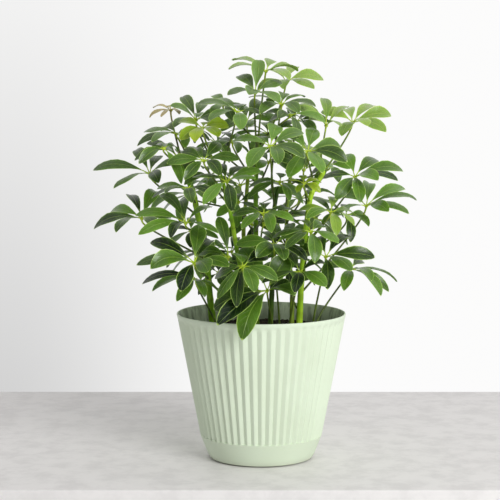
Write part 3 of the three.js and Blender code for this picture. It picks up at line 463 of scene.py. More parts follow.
def smooth_line(path: Sequence[Point], share: float) -> np.ndarray:
    """Finds a point on the smooth line through a cane's points.

    Args:
        path: The points, spaced as they come.
        share: How far along, from 0 to 1.

    Returns:
        The point, in millimetres.
    """
    points = [np.array(p, float) for p in path]
    last = len(points) - 1
    span = last * share
    start = min(int(span), last - 1)
    part = span - start
    p1, p2 = points[start], points[start + 1]
    p0 = points[start - 1] if start > 0 else 2 * p1 - p2
    p3 = points[start + 2] if start + 2 <= last else 2 * p2 - p1
    d0, d1, d2 = (math.sqrt(np.linalg.norm(b - a)) for a, b in ((p0, p1), (p1, p2), (p2, p3)))
    leave = ((p1 - p0) / d0 - (p2 - p0) / (d0 + d1) + (p2 - p1) / d1) * d1
    arrive = ((p2 - p1) / d1 - (p3 - p1) / (d1 + d2) + (p3 - p2) / d2) * d1
    square = 3 * (p2 - p1) - 2 * leave - arrive
    cube = 2 * (p1 - p2) + leave + arrive
    return p1 + leave * part + square * part**2 + cube * part**3


def cubic_point(handles: Sequence[np.ndarray], share: float) -> np.ndarray:
    """Finds a point on a cubic curve from its four handles.

    Args:
        handles: The handles, from its start to its end.
        share: How far along, from 0 to 1.

    Returns:
        The point.
    """
    a, b, c, d = handles
    rest = 1 - share
    return a * rest**3 + 3 * b * share * rest**2 + 3 * c * share**2 * rest + d * share**3


def points_along(corners: Sequence[np.ndarray], spacing: float) -> np.ndarray:
    """Spaces points evenly along a row of straight pieces.

    Args:
        corners: The ends of the straight pieces.
        spacing: The distance between points.

    Returns:
        The points, without the last corner.
    """
    points = []
    for start, end in zip(corners, corners[1:]):
        count = max(1, int(np.linalg.norm(end - start) / spacing + 0.5))
        points += [start + (end - start) * (k / count) for k in range(count)]
    return np.array(points)


@dataclass
class LeafletForm:
    """One settled leaflet: its arched line, the way across it and its breadth."""

    root: np.ndarray
    bend: np.ndarray
    tip: np.ndarray
    side: np.ndarray
    breadth: float

    def point(self, share: np.ndarray) -> np.ndarray:
        """Returns points on the leaflet's line, one for each share of its length."""
        t = np.atleast_1d(share)[:, None]
        return self.root * (1 - t) ** 2 + self.bend * 2 * t * (1 - t) + self.tip * t**2

    def ahead(self, share: np.ndarray) -> np.ndarray:
        """Returns the line's direction at each share of its length.

        Args:
            share: The shares, from 0 to 1.

        Returns:
            A direction for each, at length 1.
        """
        t = np.atleast_1d(share)[:, None]
        way = (self.bend - self.root) * (1 - t) + (self.tip - self.bend) * t
        return way / np.linalg.norm(way, axis=1)[:, None]

    def samples(self) -> np.ndarray:
        """Returns points over the blade that stand for it when room is measured.

        Returns:
            The points.
        """
        points = []
        for i in range(1, BLADE_SAMPLES + 1):
            along = i / BLADE_SAMPLES
            middle = self.point(along)[0]
            points.append(middle)
            if along > STEM_PART + 0.05:
                half = self.breadth_at(min(along, 0.95)) / 2
                shares = (-1, -0.5, 0.5, 1) if half > BROAD_HALF else (-1, 1)
                points += [middle + self.side * share * half for share in shares]
        return np.array(points)

    def breadth_at(self, along: float) -> float:
        """Returns how broad the leaflet is at a part of its length.

        Args:
            along: The part, from 0 to 1.

        Returns:
            The full breadth, in millimetres.
        """
        if along <= STEM_PART:
            return STEM_WIDTH
        part = (along - STEM_PART) / (1 - STEM_PART)
        swell = math.sin(math.pi * min(1, part * 0.96 + 0.04) ** WIDEST_POWER)
        return self.breadth * swell**BLUNTNESS


@dataclass
class SettledLeaf:
    """A leaf's plan with everything about it that the settling works out."""

    plan: LeafPlan
    draw: Draws
    tips: list[np.ndarray]
    hub: np.ndarray
    facing: np.ndarray
    handles: list[np.ndarray] = field(default_factory=list)
    forms: list[LeafletForm] = field(default_factory=list)


class Space:
    """Sample points of everything placed so far, each with a bubble of its own."""

    def __init__(self) -> None:
        """Starts with nothing placed."""
        self.points = np.zeros((0, 3))
        self.radii = np.zeros(0)
        self.owners = np.zeros(0, int)

    def add(self, points: np.ndarray, radius: float, owner: int) -> None:
        """Places bubbles of one radius for an owner.

        Args:
            points: Their middles.
            radius: Their radius.
            owner: The number of the leaf, or NO_LEAF.
        """
        self.points = np.vstack([self.points, points])
        self.radii = np.append(self.radii, np.full(len(points), radius))
        self.owners = np.append(self.owners, np.full(len(points), owner))

    def room(self, samples: np.ndarray, radius: float, heeded: np.ndarray) -> float:
        """Measures the room left round some points.

        Args:
            samples: The points that stand for a new piece.
            radius: The bubble that each of them needs.
            heeded: True for each placed bubble that counts.

        Returns:
            The least gap, below zero where a bubble is entered.
        """
        others = self.points[heeded]
        squares = (samples**2).sum(1)[:, None] + (others**2).sum(1)[None, :]
        gaps = np.sqrt(np.maximum(squares - 2 * samples @ others.T, 0))
        return float((gaps - radius - self.radii[heeded]).min())


@dataclass
class Settlement:
    """Settles every stalk and leaflet so that no two leaves cross, as in the solids."""

    space: Space = field(default_factory=Space)
    seed: int = 7919
    settled: int = 0

    def __post_init__(self) -> None:
        """Fills the room that the canes and the pot's rim take."""
        for plan in CANES:
            centres = [centre for centre, _ in cane_rings(plan)]
            points = points_along(centres, CANE_SPACING)
            self.space.add(points, plan.radius + CANE_MARGIN, NO_LEAF)
        radius = RIM_RADIUS - WALL / 2
        for i in range(RIM_SAMPLES):
            angle = i / RIM_SAMPLES * TURN
            x, y = radius * math.cos(angle), radius * math.sin(angle)
            heights = (POT_HEIGHT, POT_HEIGHT - 2 * RIM_BUBBLE)
            self.space.add(np.array([(x, y, z) for z in heights]), RIM_BUBBLE, NO_LEAF)

    def settle(self, plans: Sequence[LeafPlan]) -> list[SettledLeaf]:
        """Places hubs, then stalks, then leaflets, clear of all that stands already.

        Args:
            plans: The rows of a table of leaves.

        Returns:
            The settled leaves, in the order of the table.
        """
        first = self.settled
        leaves = [self.start_leaf(first + i, plan) for i, plan in enumerate(plans)]
        for owner, leaf in enumerate(leaves, first):
            self.space.add(leaf.hub[None, :], HUB_BUBBLE, owner)
        for place in (self.settle_stalk, self.settle_leaflets):
            for owner, leaf in enumerate(leaves, first):
                place(owner, leaf)
        self.settled += len(leaves)
        return leaves

    def start_leaf(self, index: int, plan: LeafPlan) -> SettledLeaf:
        """Works out a leaf's tips and facing before anything is bent.

        Args:
            index: The leaf's place in the table, which seeds its draws.
            plan: The leaf's row of the table.

        Returns:
            The leaf, with no stalk or leaflets yet.
        """
        draw = Draws(self.seed * (index + 3))
        tips = [np.array(p, float) for p in plan.tips]
        if plan.fan:
            tips = fan_tips(plan.fan, draw)
        return SettledLeaf(plan, draw, tips, np.array(plan.hub, float), facing_of(tips))

    def settle_stalk(self, owner: int, leaf: SettledLeaf) -> None:
        """Sways a stalk aside until it is clear of what is already placed.

        Args:
            owner: The leaf's number.
            leaf: The leaf, which gets its handles.
        """
        best = -math.inf
        chosen = np.zeros((0, 3))
        for sway in SWAYS:
            handles, foot = stalk_handles(leaf, sway)
            line = [cubic_point(handles, i / STALK_STEPS) for i in range(STALK_STEPS + 1)]
            if leaf.plan.soil:
                line.append(np.array([*leaf.plan.soil, SPROUT_FOOT]))
            samples = points_along(line, STALK_SPACING)
            samples = samples[np.linalg.norm(samples - leaf.hub, axis=1) > HUB_FREE]
            far = np.linalg.norm(self.space.points - foot, axis=1) >= FOOT_FREE
            room = self.space.room(samples, STALK_BUBBLE, far & (self.space.owners != owner))
            if room > best:
                best, chosen, leaf.handles = room, samples, handles
            if room > 0:
                break
        self.space.add(chosen, STALK_BUBBLE, owner)

    def settle_leaflets(self, owner: int, leaf: SettledLeaf) -> None:
        """Bends each leaflet least while it is clear of what is already placed.

        Args:
            owner: The leaf's number.
            leaf: The leaf, which gets its leaflets.
        """
        for tip in leaf.tips:
            roll = BLADE_ROLL * (2 * leaf.draw.next() - 1)
            breadth = leaf.plan.breadth * (1 + BREADTH_SPREAD * (2 * leaf.draw.next() - 1))
            away = np.linalg.norm(self.space.points - leaf.hub, axis=1)
            own = (self.space.owners == owner) & (away < OWN_LEAF_FREE)
            heeded = (away < LEAF_REACH) & ~own
            for bend in BENDS:
                bent = bent_tip(tip, leaf.facing, bend)
                form = leaflet_form(leaf.hub, bent, leaf.facing, breadth, roll)
                samples = form.samples()
                if self.space.room(samples, BLADE_BUBBLE, heeded) > 0:
                    leaf.forms.append(form)
                    self.space.add(samples, BLADE_BUBBLE, owner)
                    break


@dataclass(frozen=True)
class Bend:
    """One way to bend a leaflet: degrees raised and swung, and part of its reach."""

    raised: float
    swung: float
    reach: float

    @property
    def cost(self) -> float:
        """How much the bend changes the leaflet."""
        swing = SWING_COST * abs(self.swung)
        return abs(self.raised) + swing + SHORTENING_COST * (1 - self.reach)


BENDS: list[Bend] = sorted(
    (Bend(raised, swung, reach)
     for reach in REACHES for raised in RAISES for swung in SWINGS),
    key=lambda bend: bend.cost,
)


def cane_rings(plan: CanePlan) -> list[tuple[np.ndarray, float]]:
    """Lists a cane's rings as (middle, radius), from its foot in the soil to its tip.

    Args:
        plan: The cane.

    Returns:
        The rings.
    """
    start = smooth_line(plan.path, 0)
    rings = [(np.array([start[0], start[1], CANE_FOOT]), plan.radius * CANE_WAIST)]
    for i in range(CANE_STEPS + 1):
        taper = 1 - CANE_TAPER * i / CANE_STEPS
        swell = 1 if i % 2 == 1 else CANE_WAIST
        rings.append((smooth_line(plan.path, i / CANE_STEPS), plan.radius * taper * swell))
    return rings


def cane_at(plan: CanePlan, height: float) -> tuple[np.ndarray, float, np.ndarray]:
    """Finds a cane's middle, radius and direction at a height.

    Args:
        plan: The cane.
        height: The height, in millimetres.

    Returns:
        The middle, the radius and the direction.
    """
    rings = cane_rings(plan)
    above = max(1, next(i for i, (centre, _) in enumerate(rings) if centre[2] > height))
    (low, thick), (high, thin) = rings[above - 1], rings[above]
    share = (height - low[2]) / (high[2] - low[2])
    return low + (high - low) * share, thick + (thin - thick) * share, unit(high - low)


def facing_of(tips: Sequence[np.ndarray]) -> np.ndarray:
    """Finds which way a leaf's upper side looks, from the ring of its tips.

    Args:
        tips: The tips, seen from the hub.

    Returns:
        The direction, at length 1.
    """
    ring = sorted(tips, key=lambda tip: math.atan2(tip[1], tip[0]))
    total = sum(np.cross(tip, after) for tip, after in zip(ring, ring[1:] + ring[:1]))
    return unit(unit(total) + LIGHT_WAY * LIGHT_PULL)


def fan_tips(fan: FanPlan, draw: Draws) -> list[np.ndarray]:
    """Spreads leaflet tips round a leaning hub, with small seeded differences.

    Args:
        fan: The ring's measures.
        draw: The leaf's draws.

    Returns:
        The tips, seen from the hub.
    """
    towards, tilt = (math.radians(angle) for angle in fan.lean)
    axis = np.array([math.cos(towards), math.sin(towards), 0]) * math.sin(tilt)
    axis = axis + UP * math.cos(tilt)
    right = unit(np.cross(UP, axis))
    ahead = np.cross(right, axis)
    tips = []
    for i in range(fan.leaflets):
        turn = FAN_TURN * (draw.next() - 0.5)
        angle = math.radians(fan.turn + 360 * i / fan.leaflets + turn)
        fall = math.radians(fan.dip + FAN_FALL * (draw.next() - 0.5))
        spread = 1 + FAN_LENGTH * (draw.next() - 0.5)
        length = fan.reach * spread * (1 + FAN_LOPSIDED * math.cos(angle))
        flat = ahead * math.cos(angle) + right * math.sin(angle)
        tips.append(flat * length * math.cos(fall) - axis * length * math.sin(fall))
    return tips


def leaflet_form(hub: np.ndarray, tip: np.ndarray, facing: np.ndarray, breadth: float,
                 roll: float) -> LeafletForm:
    """Shapes one leaflet's arched line.

    Args:
        hub: Where all the leaf's leaflets meet.
        tip: The leaflet's tip, seen from the hub.
        facing: The way the leaf's upper side looks.
        breadth: The blade's full breadth.
        roll: How far the blade is rolled about its line, in radians.

    Returns:
        The leaflet.
    """
    length = float(np.linalg.norm(tip))
    along = unit(tip)
    bend = hub + tip * 0.5 + facing * 2 * BLADE_ARCH * length
    level = unit(np.cross(along, facing))
    steep = np.cross(level, along)
    side = level * math.cos(roll) + steep * math.sin(roll)
    return LeafletForm(hub, bend, hub + tip, side, breadth)


def bent_tip(tip: np.ndarray, facing: np.ndarray, bend: Bend) -> np.ndarray:
    """Returns a tip after one of the bends."""
    level = unit(np.cross(tip, facing))
    return turned(turned(tip * bend.reach, level, bend.raised), facing, bend.swung)


def stalk_handles(leaf: SettledLeaf, sway: float) -> tuple[list[np.ndarray], np.ndarray]:
    """Finds the curve handles of a leaf's stalk.

    Args:
        leaf: The leaf that the stalk carries.
        sway: How far its middle leans aside, in millimetres.

    Returns:
        The four handles from the hub down, and the stalk's foot.
    """
    if leaf.plan.soil:
        foot = np.array([*leaf.plan.soil, SPROUT_TOP])
        leave = UP
    else:
        axis, radius, along = cane_at(CANE_OF[leaf.plan.cane], leaf.plan.at)
        out = leaf.hub - axis
        out = unit(out - along * (out @ along))
        foot = axis + out * (radius + SEAT_GAP)
        leave = out * math.cos(STALK_RISE_ANGLE) + along * math.sin(STALK_RISE_ANGLE)
    span = float(np.linalg.norm(leaf.hub - foot))
    aside = unit(np.cross(leaf.hub - foot, UP)) * sway
    handles = [
        leaf.hub - leaf.facing * STALK_TOP,
        leaf.hub - leaf.facing * span * STALK_NECK + aside,
        foot + leave * span * STALK_NECK + aside,
        foot,
    ]
    return handles, foot


@dataclass(frozen=True)
class Mark:
    """A tone, given as 0 to 255 of red, green and blue."""

    red: float
    green: float
    blue: float

    def rgba(self) -> tuple[float, ...]:
        """Returns the tone as the shader reads it, with full cover."""
        parts = (self.red / 255, self.green / 255, self.blue / 255)
        return (*(c / 12.92 if c <= 0.04045 else ((c + 0.055) / 1.055) ** 2.4 for c in parts), 1.0)


@dataclass(frozen=True)
class Shade:
    """A socket of a node, which sums and products can be written with."""

    bench: "Bench"
    socket: bpy.types.NodeSocket

    def __add__(self, other: "Shade | float") -> "Shade":
        """Adds."""
        return self.bench.math("ADD", self, other)

    def __radd__(self, other: float) -> "Shade":
        """Adds, with the number first."""
        return self.bench.math("ADD", other, self)

    def __sub__(self, other: "Shade | float") -> "Shade":
        """Takes away."""
        return self.bench.math("SUBTRACT", self, other)

    def __rsub__(self, other: float) -> "Shade":
        """Takes this from a number."""
        return self.bench.math("SUBTRACT", other, self)

    def __mul__(self, other: "Shade | float") -> "Shade":
        """Multiplies."""
        return self.bench.math("MULTIPLY", self, other)

    def __rmul__(self, other: float) -> "Shade":
        """Multiplies, with the number first."""
        return self.bench.math("MULTIPLY", other, self)

    def __abs__(self) -> "Shade":
        """Drops the sign."""
        return self.bench.math("ABSOLUTE", self)

    def wave(self) -> "Shade":
        """Returns the sine."""
        return self.bench.math("SINE", self)

    def most(self, other: "Shade | float") -> "Shade":
        """Returns the greater of two."""
        return self.bench.math("MAXIMUM", self, other)

    def step(self, low: float, high: float) -> "Shade":
        """Rises softly from 0 to 1 between two values; falls if they are swapped.

        Args:
            low: Where it starts to rise.
            high: Where it is up.

        Returns:
            The risen number.
        """
        inputs = {"Value": self, "From Min": min(low, high), "From Max": max(low, high),
                  "To Min": float(low > high), "To Max": float(low < high)}
        return self.bench.shade("ShaderNodeMapRange", {"interpolation_type": "SMOOTHSTEP"}, inputs)


Value = Shade | Mark | float | tuple
Settings = dict[str, object]
Inputs = dict[str | int, Value]


class Bench:
    """The nodes of one material or of the world, with one way to add them."""

    def __init__(self, owner: str | bpy.types.World) -> None:
        """Starts a named material, or the world, with no nodes.

        Args:
            owner: The material's name, or the world.
        """
        self.owner = bpy.data.materials.new(owner) if isinstance(owner, str) else owner
        self.owner.use_nodes = True
        self.tree = self.owner.node_tree
        self.tree.nodes.clear()

    def node(self, kind: str, settings: Settings | None = None,
             inputs: Inputs | None = None) -> bpy.types.Node:
        """Adds a node.

        Args:
            kind: Blender's name for its type.
            settings: Its own settings; "stops" holds a ramp's places and colours.
            inputs: Values, marks or shades for its sockets, by name or place.

        Returns:
            The node.
        """
        node = self.tree.nodes.new(kind)
        for name, value in (settings or {}).items():
            if name == "stops":
                self.set_stops(node, value)
            else:
                setattr(node, name, value)
        for name, value in (inputs or {}).items():
            if isinstance(value, Shade):
                self.tree.links.new(value.socket, node.inputs[name])
            else:
                plain = value.rgba() if isinstance(value, Mark) else value
                node.inputs[name].default_value = plain
        return node

    def shade(self, kind: str, settings: Settings | None = None, inputs: Inputs | None = None,
              output: str | int = 0) -> Shade:
        """Adds a node, as node does, and returns one of its outputs."""
        return Shade(self, self.node(kind, settings, inputs).outputs[output])

    def set_stops(self, node: bpy.types.Node, stops: Sequence[tuple[float, Mark]]) -> None:
        """Sets a colour ramp's stops.

        Args:
            node: The ramp's node.
            stops: Places from 0 to 1, and their marks.
        """
        elements = node.color_ramp.elements
        while len(elements) < len(stops):
            elements.new(1.0)
        for element, (place, mark) in zip(elements, stops):
            element.position = place
            element.color = mark.rgba()

    def math(self, operation: str, first: Value, second: Value = 0.0) -> Shade:
        """Works out one sum of numbers."""
        return self.shade("ShaderNodeMath", {"operation": operation}, {0: first, 1: second})

    def mix(self, share: Value, first: Value, second: Value) -> Shade:
        """Mixes two colours by a share of the second, from 0 to 1."""
        settings = {"data_type": "RGBA", "blend_type": "MIX", "clamp_factor": True}
        return self.shade("ShaderNodeMix", settings, {0: share, 6: first, 7: second}, 2)

    def parts(self, coordinates: str) -> tuple[Shade, Shade, Shade]:
        """Returns the three numbers of a kind of coordinates.

        Args:
            coordinates: Blender's name for the kind.

        Returns:
            The three numbers.
        """
        whole = self.shade("ShaderNodeTexCoord", output=coordinates)
        split = self.node("ShaderNodeSeparateXYZ", inputs={0: whole})
        x, y, z = (Shade(self, output) for output in split.outputs[:3])
        return x, y, z

    def along_and_off(self) -> tuple[Shade, Shade]:
        """Returns the share along a leaflet or stalk, and the share off its middle line."""
        along, across, _ = self.parts("UV")
        return along, abs(across * 2 - 1)

    def height(self) -> Shade:
        """Returns the height on the object, in metres."""
        return self.parts("Object")[2]

    def place(self) -> Shade:
        """Returns the place on the object, in metres."""
        return self.shade("ShaderNodeTexCoord", output="Object")

    def noise(self, scale: float, detail: float = 3.0, rough: float = 0.5,
              stretch: Point = (1.0, 1.0, 1.0)) -> Shade:
        """Returns a soft noise over the object.

        Args:
            scale: Waves in a metre.
            detail: How many finer waves are added.
            rough: How strong the finer waves are.
            stretch: How the pattern is scaled along each axis.

        Returns:
            The noise, about 0.5.
        """
        place = self.shade("ShaderNodeMapping",
                           inputs={"Vector": self.place(), "Scale": stretch})
        inputs = {"Vector": place, "Scale": scale, "Detail": detail, "Roughness": rough}
        return self.shade("ShaderNodeTexNoise", inputs=inputs)

    def cells(self, scale: float) -> Shade:
        """Returns the distance to the nearest of some scattered points."""
        inputs = {"Vector": self.place(), "Scale": scale}
        return self.shade("ShaderNodeTexVoronoi", {"feature": "F1"}, inputs, "Distance")

    def drawn(self) -> Shade:
        """Returns the tint kept on the mesh."""
        return self.shade("ShaderNodeAttribute", {"attribute_name": TINT}, output="Fac")

    def ramp(self, share: Shade, stops: Sequence[tuple[float, Mark]]) -> Shade:
        """Runs through colours as a number goes from 0 to 1."""
        return self.shade("ShaderNodeValToRGB", {"stops": stops}, {0: share})

    def bump(self, height: Shade, strength: float, distance: float) -> Shade:
        """Returns a surface direction tilted by a height."""
        inputs = {"Height": height, "Strength": strength, "Distance": distance}
        return self.shade("ShaderNodeBump", inputs=inputs)

    def finish(self, colour: Shade, rough: Shade, level: float, relief: Shade | None = None,
               fixed: Inputs | None = None) -> bpy.types.Material:
        """Ends the material in one surface shader.

        Args:
            colour: Its base colour.
            rough: Its roughness.
            level: How strongly it mirrors, the same all over.
            relief: Its surface direction, where it isn't plain.
            fixed: Numbers for other sockets, the same all over.

        Returns:
            The material.
        """
        inputs = {"Base Color": colour, "Roughness": rough, "Specular IOR Level": level}
        if relief is not None:
            inputs["Normal"] = relief
        skin = self.node("ShaderNodeBsdfPrincipled", inputs=inputs | (fixed or {}))
        out = self.node("ShaderNodeOutputMaterial")
        self.tree.links.new(skin.outputs[0], out.inputs[0])
        return self.owner


def flesh(weight: float, blue: float, depth: float) -> Inputs:
    """Says how far light passes into a green part, and how much blue is kept."""
    return {"Subsurface Weight": weight, "Subsurface Radius": (0.5, 1.0, blue),
            "Subsurface Scale": depth}


@dataclass(frozen=True)
class LeafFinish:
    """The colours of one age of leaf: blade, veins, a pale margin that is partly painted rim light,
    underside and stalk.
    """

    tone: Tone
    dark: Mark
    light: Mark
    vein: Mark
    # Pale margin: partly the leaf's own, partly painted rim light
    pale_margin_and_rim_light: Mark
    under: Mark
    stalk: Mark
    fresh: Mark
    pale_top_and_sheen: Mark = Mark(134, 160, 100)
    gloss: float = 0.34
    glow: float = 0.05

    def upper(self) -> bpy.types.Material:
        """Makes the glossy upper side, with midrib, side veins and a pale margin that is partly
        painted rim light.

        Returns:
            The material.
        """
        bench = Bench(f"{self.tone.value}_upper")
        along, off = bench.along_and_off()
        cloud = bench.noise(55, 2)
        mottle = bench.noise(420, 3)
        height = bench.height()
        share = bench.drawn() * 0.76 + cloud * 0.4 + mottle * 0.24 + off * off * 0.24
        # Painted shade and light: leaves low in the bush darker, higher ones lighter
        share = share + height.step(*LIT_HEIGHTS) * 0.22 - 0.44
        blade = bench.mix(share, self.dark, self.light)
        # Upper leaves pale towards grey-green: partly young growth, partly painted sheen and light
        # at the top of the bush
        blade = bench.mix(height.step(*PALE_TOP_SHEEN_HEIGHTS) * 0.42, blade, self.pale_top_and_sheen)
        rib = (off + along * 0.03).step(0.09, 0.03)
        side = self.side_veins(along, off, 0.2) * off.step(0.03, 0.2)
        side = side * off.step(0.98, 0.7)
        # Painted rim light: the pale margin stands partly for light caught at the leaflet's edge
        edge = off.step(0.9, 0.97).most(along.step(0.965, 0.992))
        base = along.step(0.16, 0.0)
        colour = bench.mix(side * 0.14, blade, self.vein)
        colour = bench.mix((rib * 0.5).most(base * 0.85), colour, self.vein)
        colour = bench.mix(edge * 0.9, colour, self.pale_margin_and_rim_light)
        relief = mottle * 0.3 + cloud * 2.0 - rib * 1.1 - side * 0.7
        coat = {"Coat Weight": 0.2, "Coat Roughness": 0.2}
        return bench.finish(colour, mottle * 0.16 + (self.gloss - 0.1), 0.4,
                            bench.bump(relief, 0.5, 0.0006), self.blade_flesh() | coat)

    def underside(self) -> bpy.types.Material:
        """Makes the dull pale underside with its raised veins.

        Returns:
            The material.
        """
        bench = Bench(f"{self.tone.value}_underside")
        along, off = bench.along_and_off()
        mottle = bench.noise(300, 3)
        rib = off.step(0.11, 0.03)
        side = self.side_veins(along, off, 0.25) * off.step(0.98, 0.7)
        share = bench.drawn() * 0.4 + mottle * 0.35
        blade = bench.mix(share, self.under, self.light)
        colour = bench.mix(side * 0.3, blade, self.vein)
        colour = bench.mix(rib * 0.9, colour, self.vein)
        # Pale margin below too: partly the leaf's own, partly painted rim light
        colour = bench.mix(off.step(0.93, 0.98) * 0.6, colour, self.pale_margin_and_rim_light)
        relief = bench.bump(rib + side * 0.5 + mottle * 0.2, 0.4, 0.0004)
        return bench.finish(colour, mottle * 0.15 + 0.5, 0.3, relief, self.blade_flesh())

    def stem(self) -> bpy.types.Material:
        """Makes the stalk, olive below and bright where the leaflets meet.

        Returns:
            The material.
        """
        bench = Bench(f"{self.tone.value}_stalk")
        along, _, _ = bench.parts("UV")
        grain = bench.noise(260, 3, stretch=(1, 1, 0.25))
        colour = bench.mix(along.step(0.62, 0.97), self.stalk, self.fresh)
        colour = bench.mix(grain.step(0.5, 0.75) * 0.35, colour, self.vein)
        return bench.finish(colour, grain * 0.2 + 0.34, 0.4, bench.bump(grain, 0.25, 0.0003),
                            flesh(0.12, 0.2, 0.001))

    def side_veins(self, along: Shade, off: Shade, width: float) -> Shade:
        """Returns the slanting side veins, 1 along each, softened over a width."""
        slant = along * VEINS_ALONG - off * VEIN_SLANT
        return abs((slant * math.pi).wave()).step(width, 0.02)

    def blade_flesh(self) -> Inputs:
        """Returns how far light passes into a blade."""
        return flesh(self.glow, 0.15, 0.0012)


LEAF_FINISHES: tuple[LeafFinish, ...] = (
    LeafFinish(Tone.MATURE, Mark(6, 32, 2), Mark(110, 156, 46), Mark(156, 190, 76),
               Mark(186, 216, 112), Mark(98, 132, 56), Mark(78, 96, 28), Mark(186, 212, 54)),
    # The fresh tone is paler partly as young growth, partly as painted light for the backlit glow
    # at the top of the bush
    LeafFinish(Tone.FRESH, Mark(84, 124, 30), Mark(156, 188, 68), Mark(180, 210, 88),
               Mark(198, 222, 112), Mark(136, 168, 70), Mark(102, 126, 36), Mark(190, 214, 60),
               pale_top_and_sheen=Mark(156, 184, 104), glow=0.2),
    LeafFinish(Tone.YOUNG, Mark(106, 140, 10), Mark(184, 208, 52), Mark(190, 212, 80),
               Mark(200, 220, 100), Mark(146, 176, 54), Mark(128, 154, 36), Mark(192, 214, 60),
               pale_top_and_sheen=Mark(158, 184, 52), glow=0.22),
    LeafFinish(Tone.BRONZE, Mark(170, 152, 92), Mark(212, 198, 138), Mark(200, 186, 124),
               Mark(208, 196, 138), Mark(176, 162, 108), Mark(94, 92, 42), Mark(178, 168, 82),
               pale_top_and_sheen=Mark(184, 170, 112), glow=0.16),
)


@dataclass(frozen=True)
class CaneFinish:
    """The colours of a cane: green skin, paler lit streaks and brown scars."""

    skin: Mark
    streak: Mark
    scar: Mark

    def make(self, name: str) -> bpy.types.Material:
        """Makes the material.

        Args:
            name: The cane's name.

        Returns:
            The material.
        """
        bench = Bench(f"{name}_skin")
        streaks = bench.noise(240, 4, stretch=(1, 1, 0.12))
        patches = bench.noise(60, 3)
        spots = bench.cells(420)
        along, _, _ = bench.parts("UV")
        colour = bench.mix(streaks.step(0.35, 0.7) * 0.7, self.skin, self.streak)
        colour = bench.mix(patches.step(0.5, 0.8) * 0.35, colour, self.scar)
        colour = bench.mix(spots.step(0.2, 0.08) * 0.4, colour, self.streak)
        colour = bench.mix(bench.drawn() * 0.7, colour, self.scar)
        colour = bench.mix(along.step(0.05, 0.0) * 0.6, colour, self.scar)
        relief = bench.bump(streaks + spots.step(0.2, 0.05) * 0.6, 0.4, 0.0005)
        return bench.finish(colour, streaks * 0.25 + 0.4, 0.35, relief)


# Each cane's marks are the tones it shows where it stands: the dark cane's is partly painted shade,
# the bright cane's partly painted light
CANE_FINISHES: dict[str, CaneFinish] = {
    "left": CaneFinish(Mark(104, 158, 12), Mark(166, 208, 42), Mark(92, 116, 26)),
    "slim": CaneFinish(Mark(122, 178, 18), Mark(184, 222, 56), Mark(104, 126, 30)),
    "middle": CaneFinish(Mark(90, 142, 12), Mark(150, 196, 38), Mark(84, 104, 26)),
    "dark": CaneFinish(Mark(54, 88, 14), Mark(96, 130, 28), Mark(58, 68, 22)),
    "bright": CaneFinish(Mark(150, 204, 22), Mark(206, 236, 66), Mark(120, 142, 38)),
    "rear_right": CaneFinish(Mark(124, 158, 34), Mark(162, 190, 60), Mark(108, 104, 42)),
    "rear": CaneFinish(Mark(124, 158, 34), Mark(162, 190, 60), Mark(108, 104, 42)),
}


@dataclass(frozen=True)
class PotFinish:
    """Pale mint moulded plastic, matt, with painted shade on the inside."""

    body: Mark = Mark(221, 234, 211)
    shade: Mark = Mark(212, 225, 199)
    foot_grey: Mark = Mark(206, 210, 190)
    # The dark tone of the painted shade inside the pot
    painted_inner_shade: Mark = Mark(100, 108, 90)

    def outside(self) -> bpy.types.Material:
        """Makes the clean outside, a little darker and greyer at the bottom of the foot.

        Returns:
            The material.
        """
        bench = Bench("pot_plastic")
        cloud = bench.noise(18, 2)
        grain = bench.noise(1900, 2)
        z = bench.height()
        colour = bench.mix(cloud.step(0.35, 0.7) * 0.4, self.body, self.shade)
        # Darker and greyer in the lowest 8 mm of the foot
        colour = bench.mix(z.step(0.008, 0.0) * 0.4, colour, self.foot_grey)
        return bench.finish(colour, grain * 0.12 + 0.46, 0.34,
                            bench.bump(grain + cloud * 0.4, 0.1, 0.0002))

    def inside(self) -> bpy.types.Material:
        """Makes the inside, painted darker down towards the compost and in soft streaks, as painted
        shade.

        Returns:
            The material.
        """
        bench = Bench("pot_inside")
        streaks = bench.noise(110, 4, 0.6, stretch=(1, 1, 0.12))
        grain = bench.noise(900, 3)
        # Painted shade: darker down towards the compost and in soft vertical streaks
        painted_shade = bench.height().step(0.165, 0.146) * 0.42 + streaks.step(0.42, 0.6) * 0.45
        colour = bench.mix(painted_shade, self.shade, self.painted_inner_shade)
        return bench.finish(colour, grain * 0.2 + 0.5, 0.34,
                            bench.bump(grain + streaks, 0.2, 0.0003))


@dataclass(frozen=True)
class SoilFinish:
    """Dark moist compost."""

    dark: Mark = Mark(17, 14, 11)
    brown: Mark = Mark(42, 34, 25)
    pale: Mark = Mark(92, 76, 56)

    def make(self, name: str, lift: float = 0.0) -> bpy.types.Material:
        """Makes the material.

        Args:
            name: What to call it.
            lift: How far it leans to the paler tones.

        Returns:
            The material.
        """
        bench = Bench(name)
        crumbs = bench.noise(520, 5, 0.65)
        patches = bench.noise(70, 3)
        share = crumbs * 0.8 + patches * 0.3 + lift - 0.12
        colour = bench.ramp(share, ((0.2, self.dark), (0.62, self.brown), (0.95, self.pale)))
        return bench.finish(colour, crumbs * 0.2 + 0.75, 0.2, bench.bump(crumbs, 0.8, 0.0012))


@dataclass(frozen=True)
class BitFinish:
    """Bark chips and rootlets on the compost."""

    dark: Mark
    light: Mark

    def make(self, name: str) -> bpy.types.Material:
        """Makes the material.

        Args:
            name: What to call it.

        Returns:
            The material.
        """
        bench = Bench(name)
        grain = bench.noise(700, 4, 0.6, stretch=(1, 0.4, 1))
        colour = bench.mix(grain.step(0.35, 0.7), self.dark, self.light)
        return bench.finish(colour, grain * 0.2 + 0.65, 0.25, bench.bump(grain, 0.5, 0.0004))


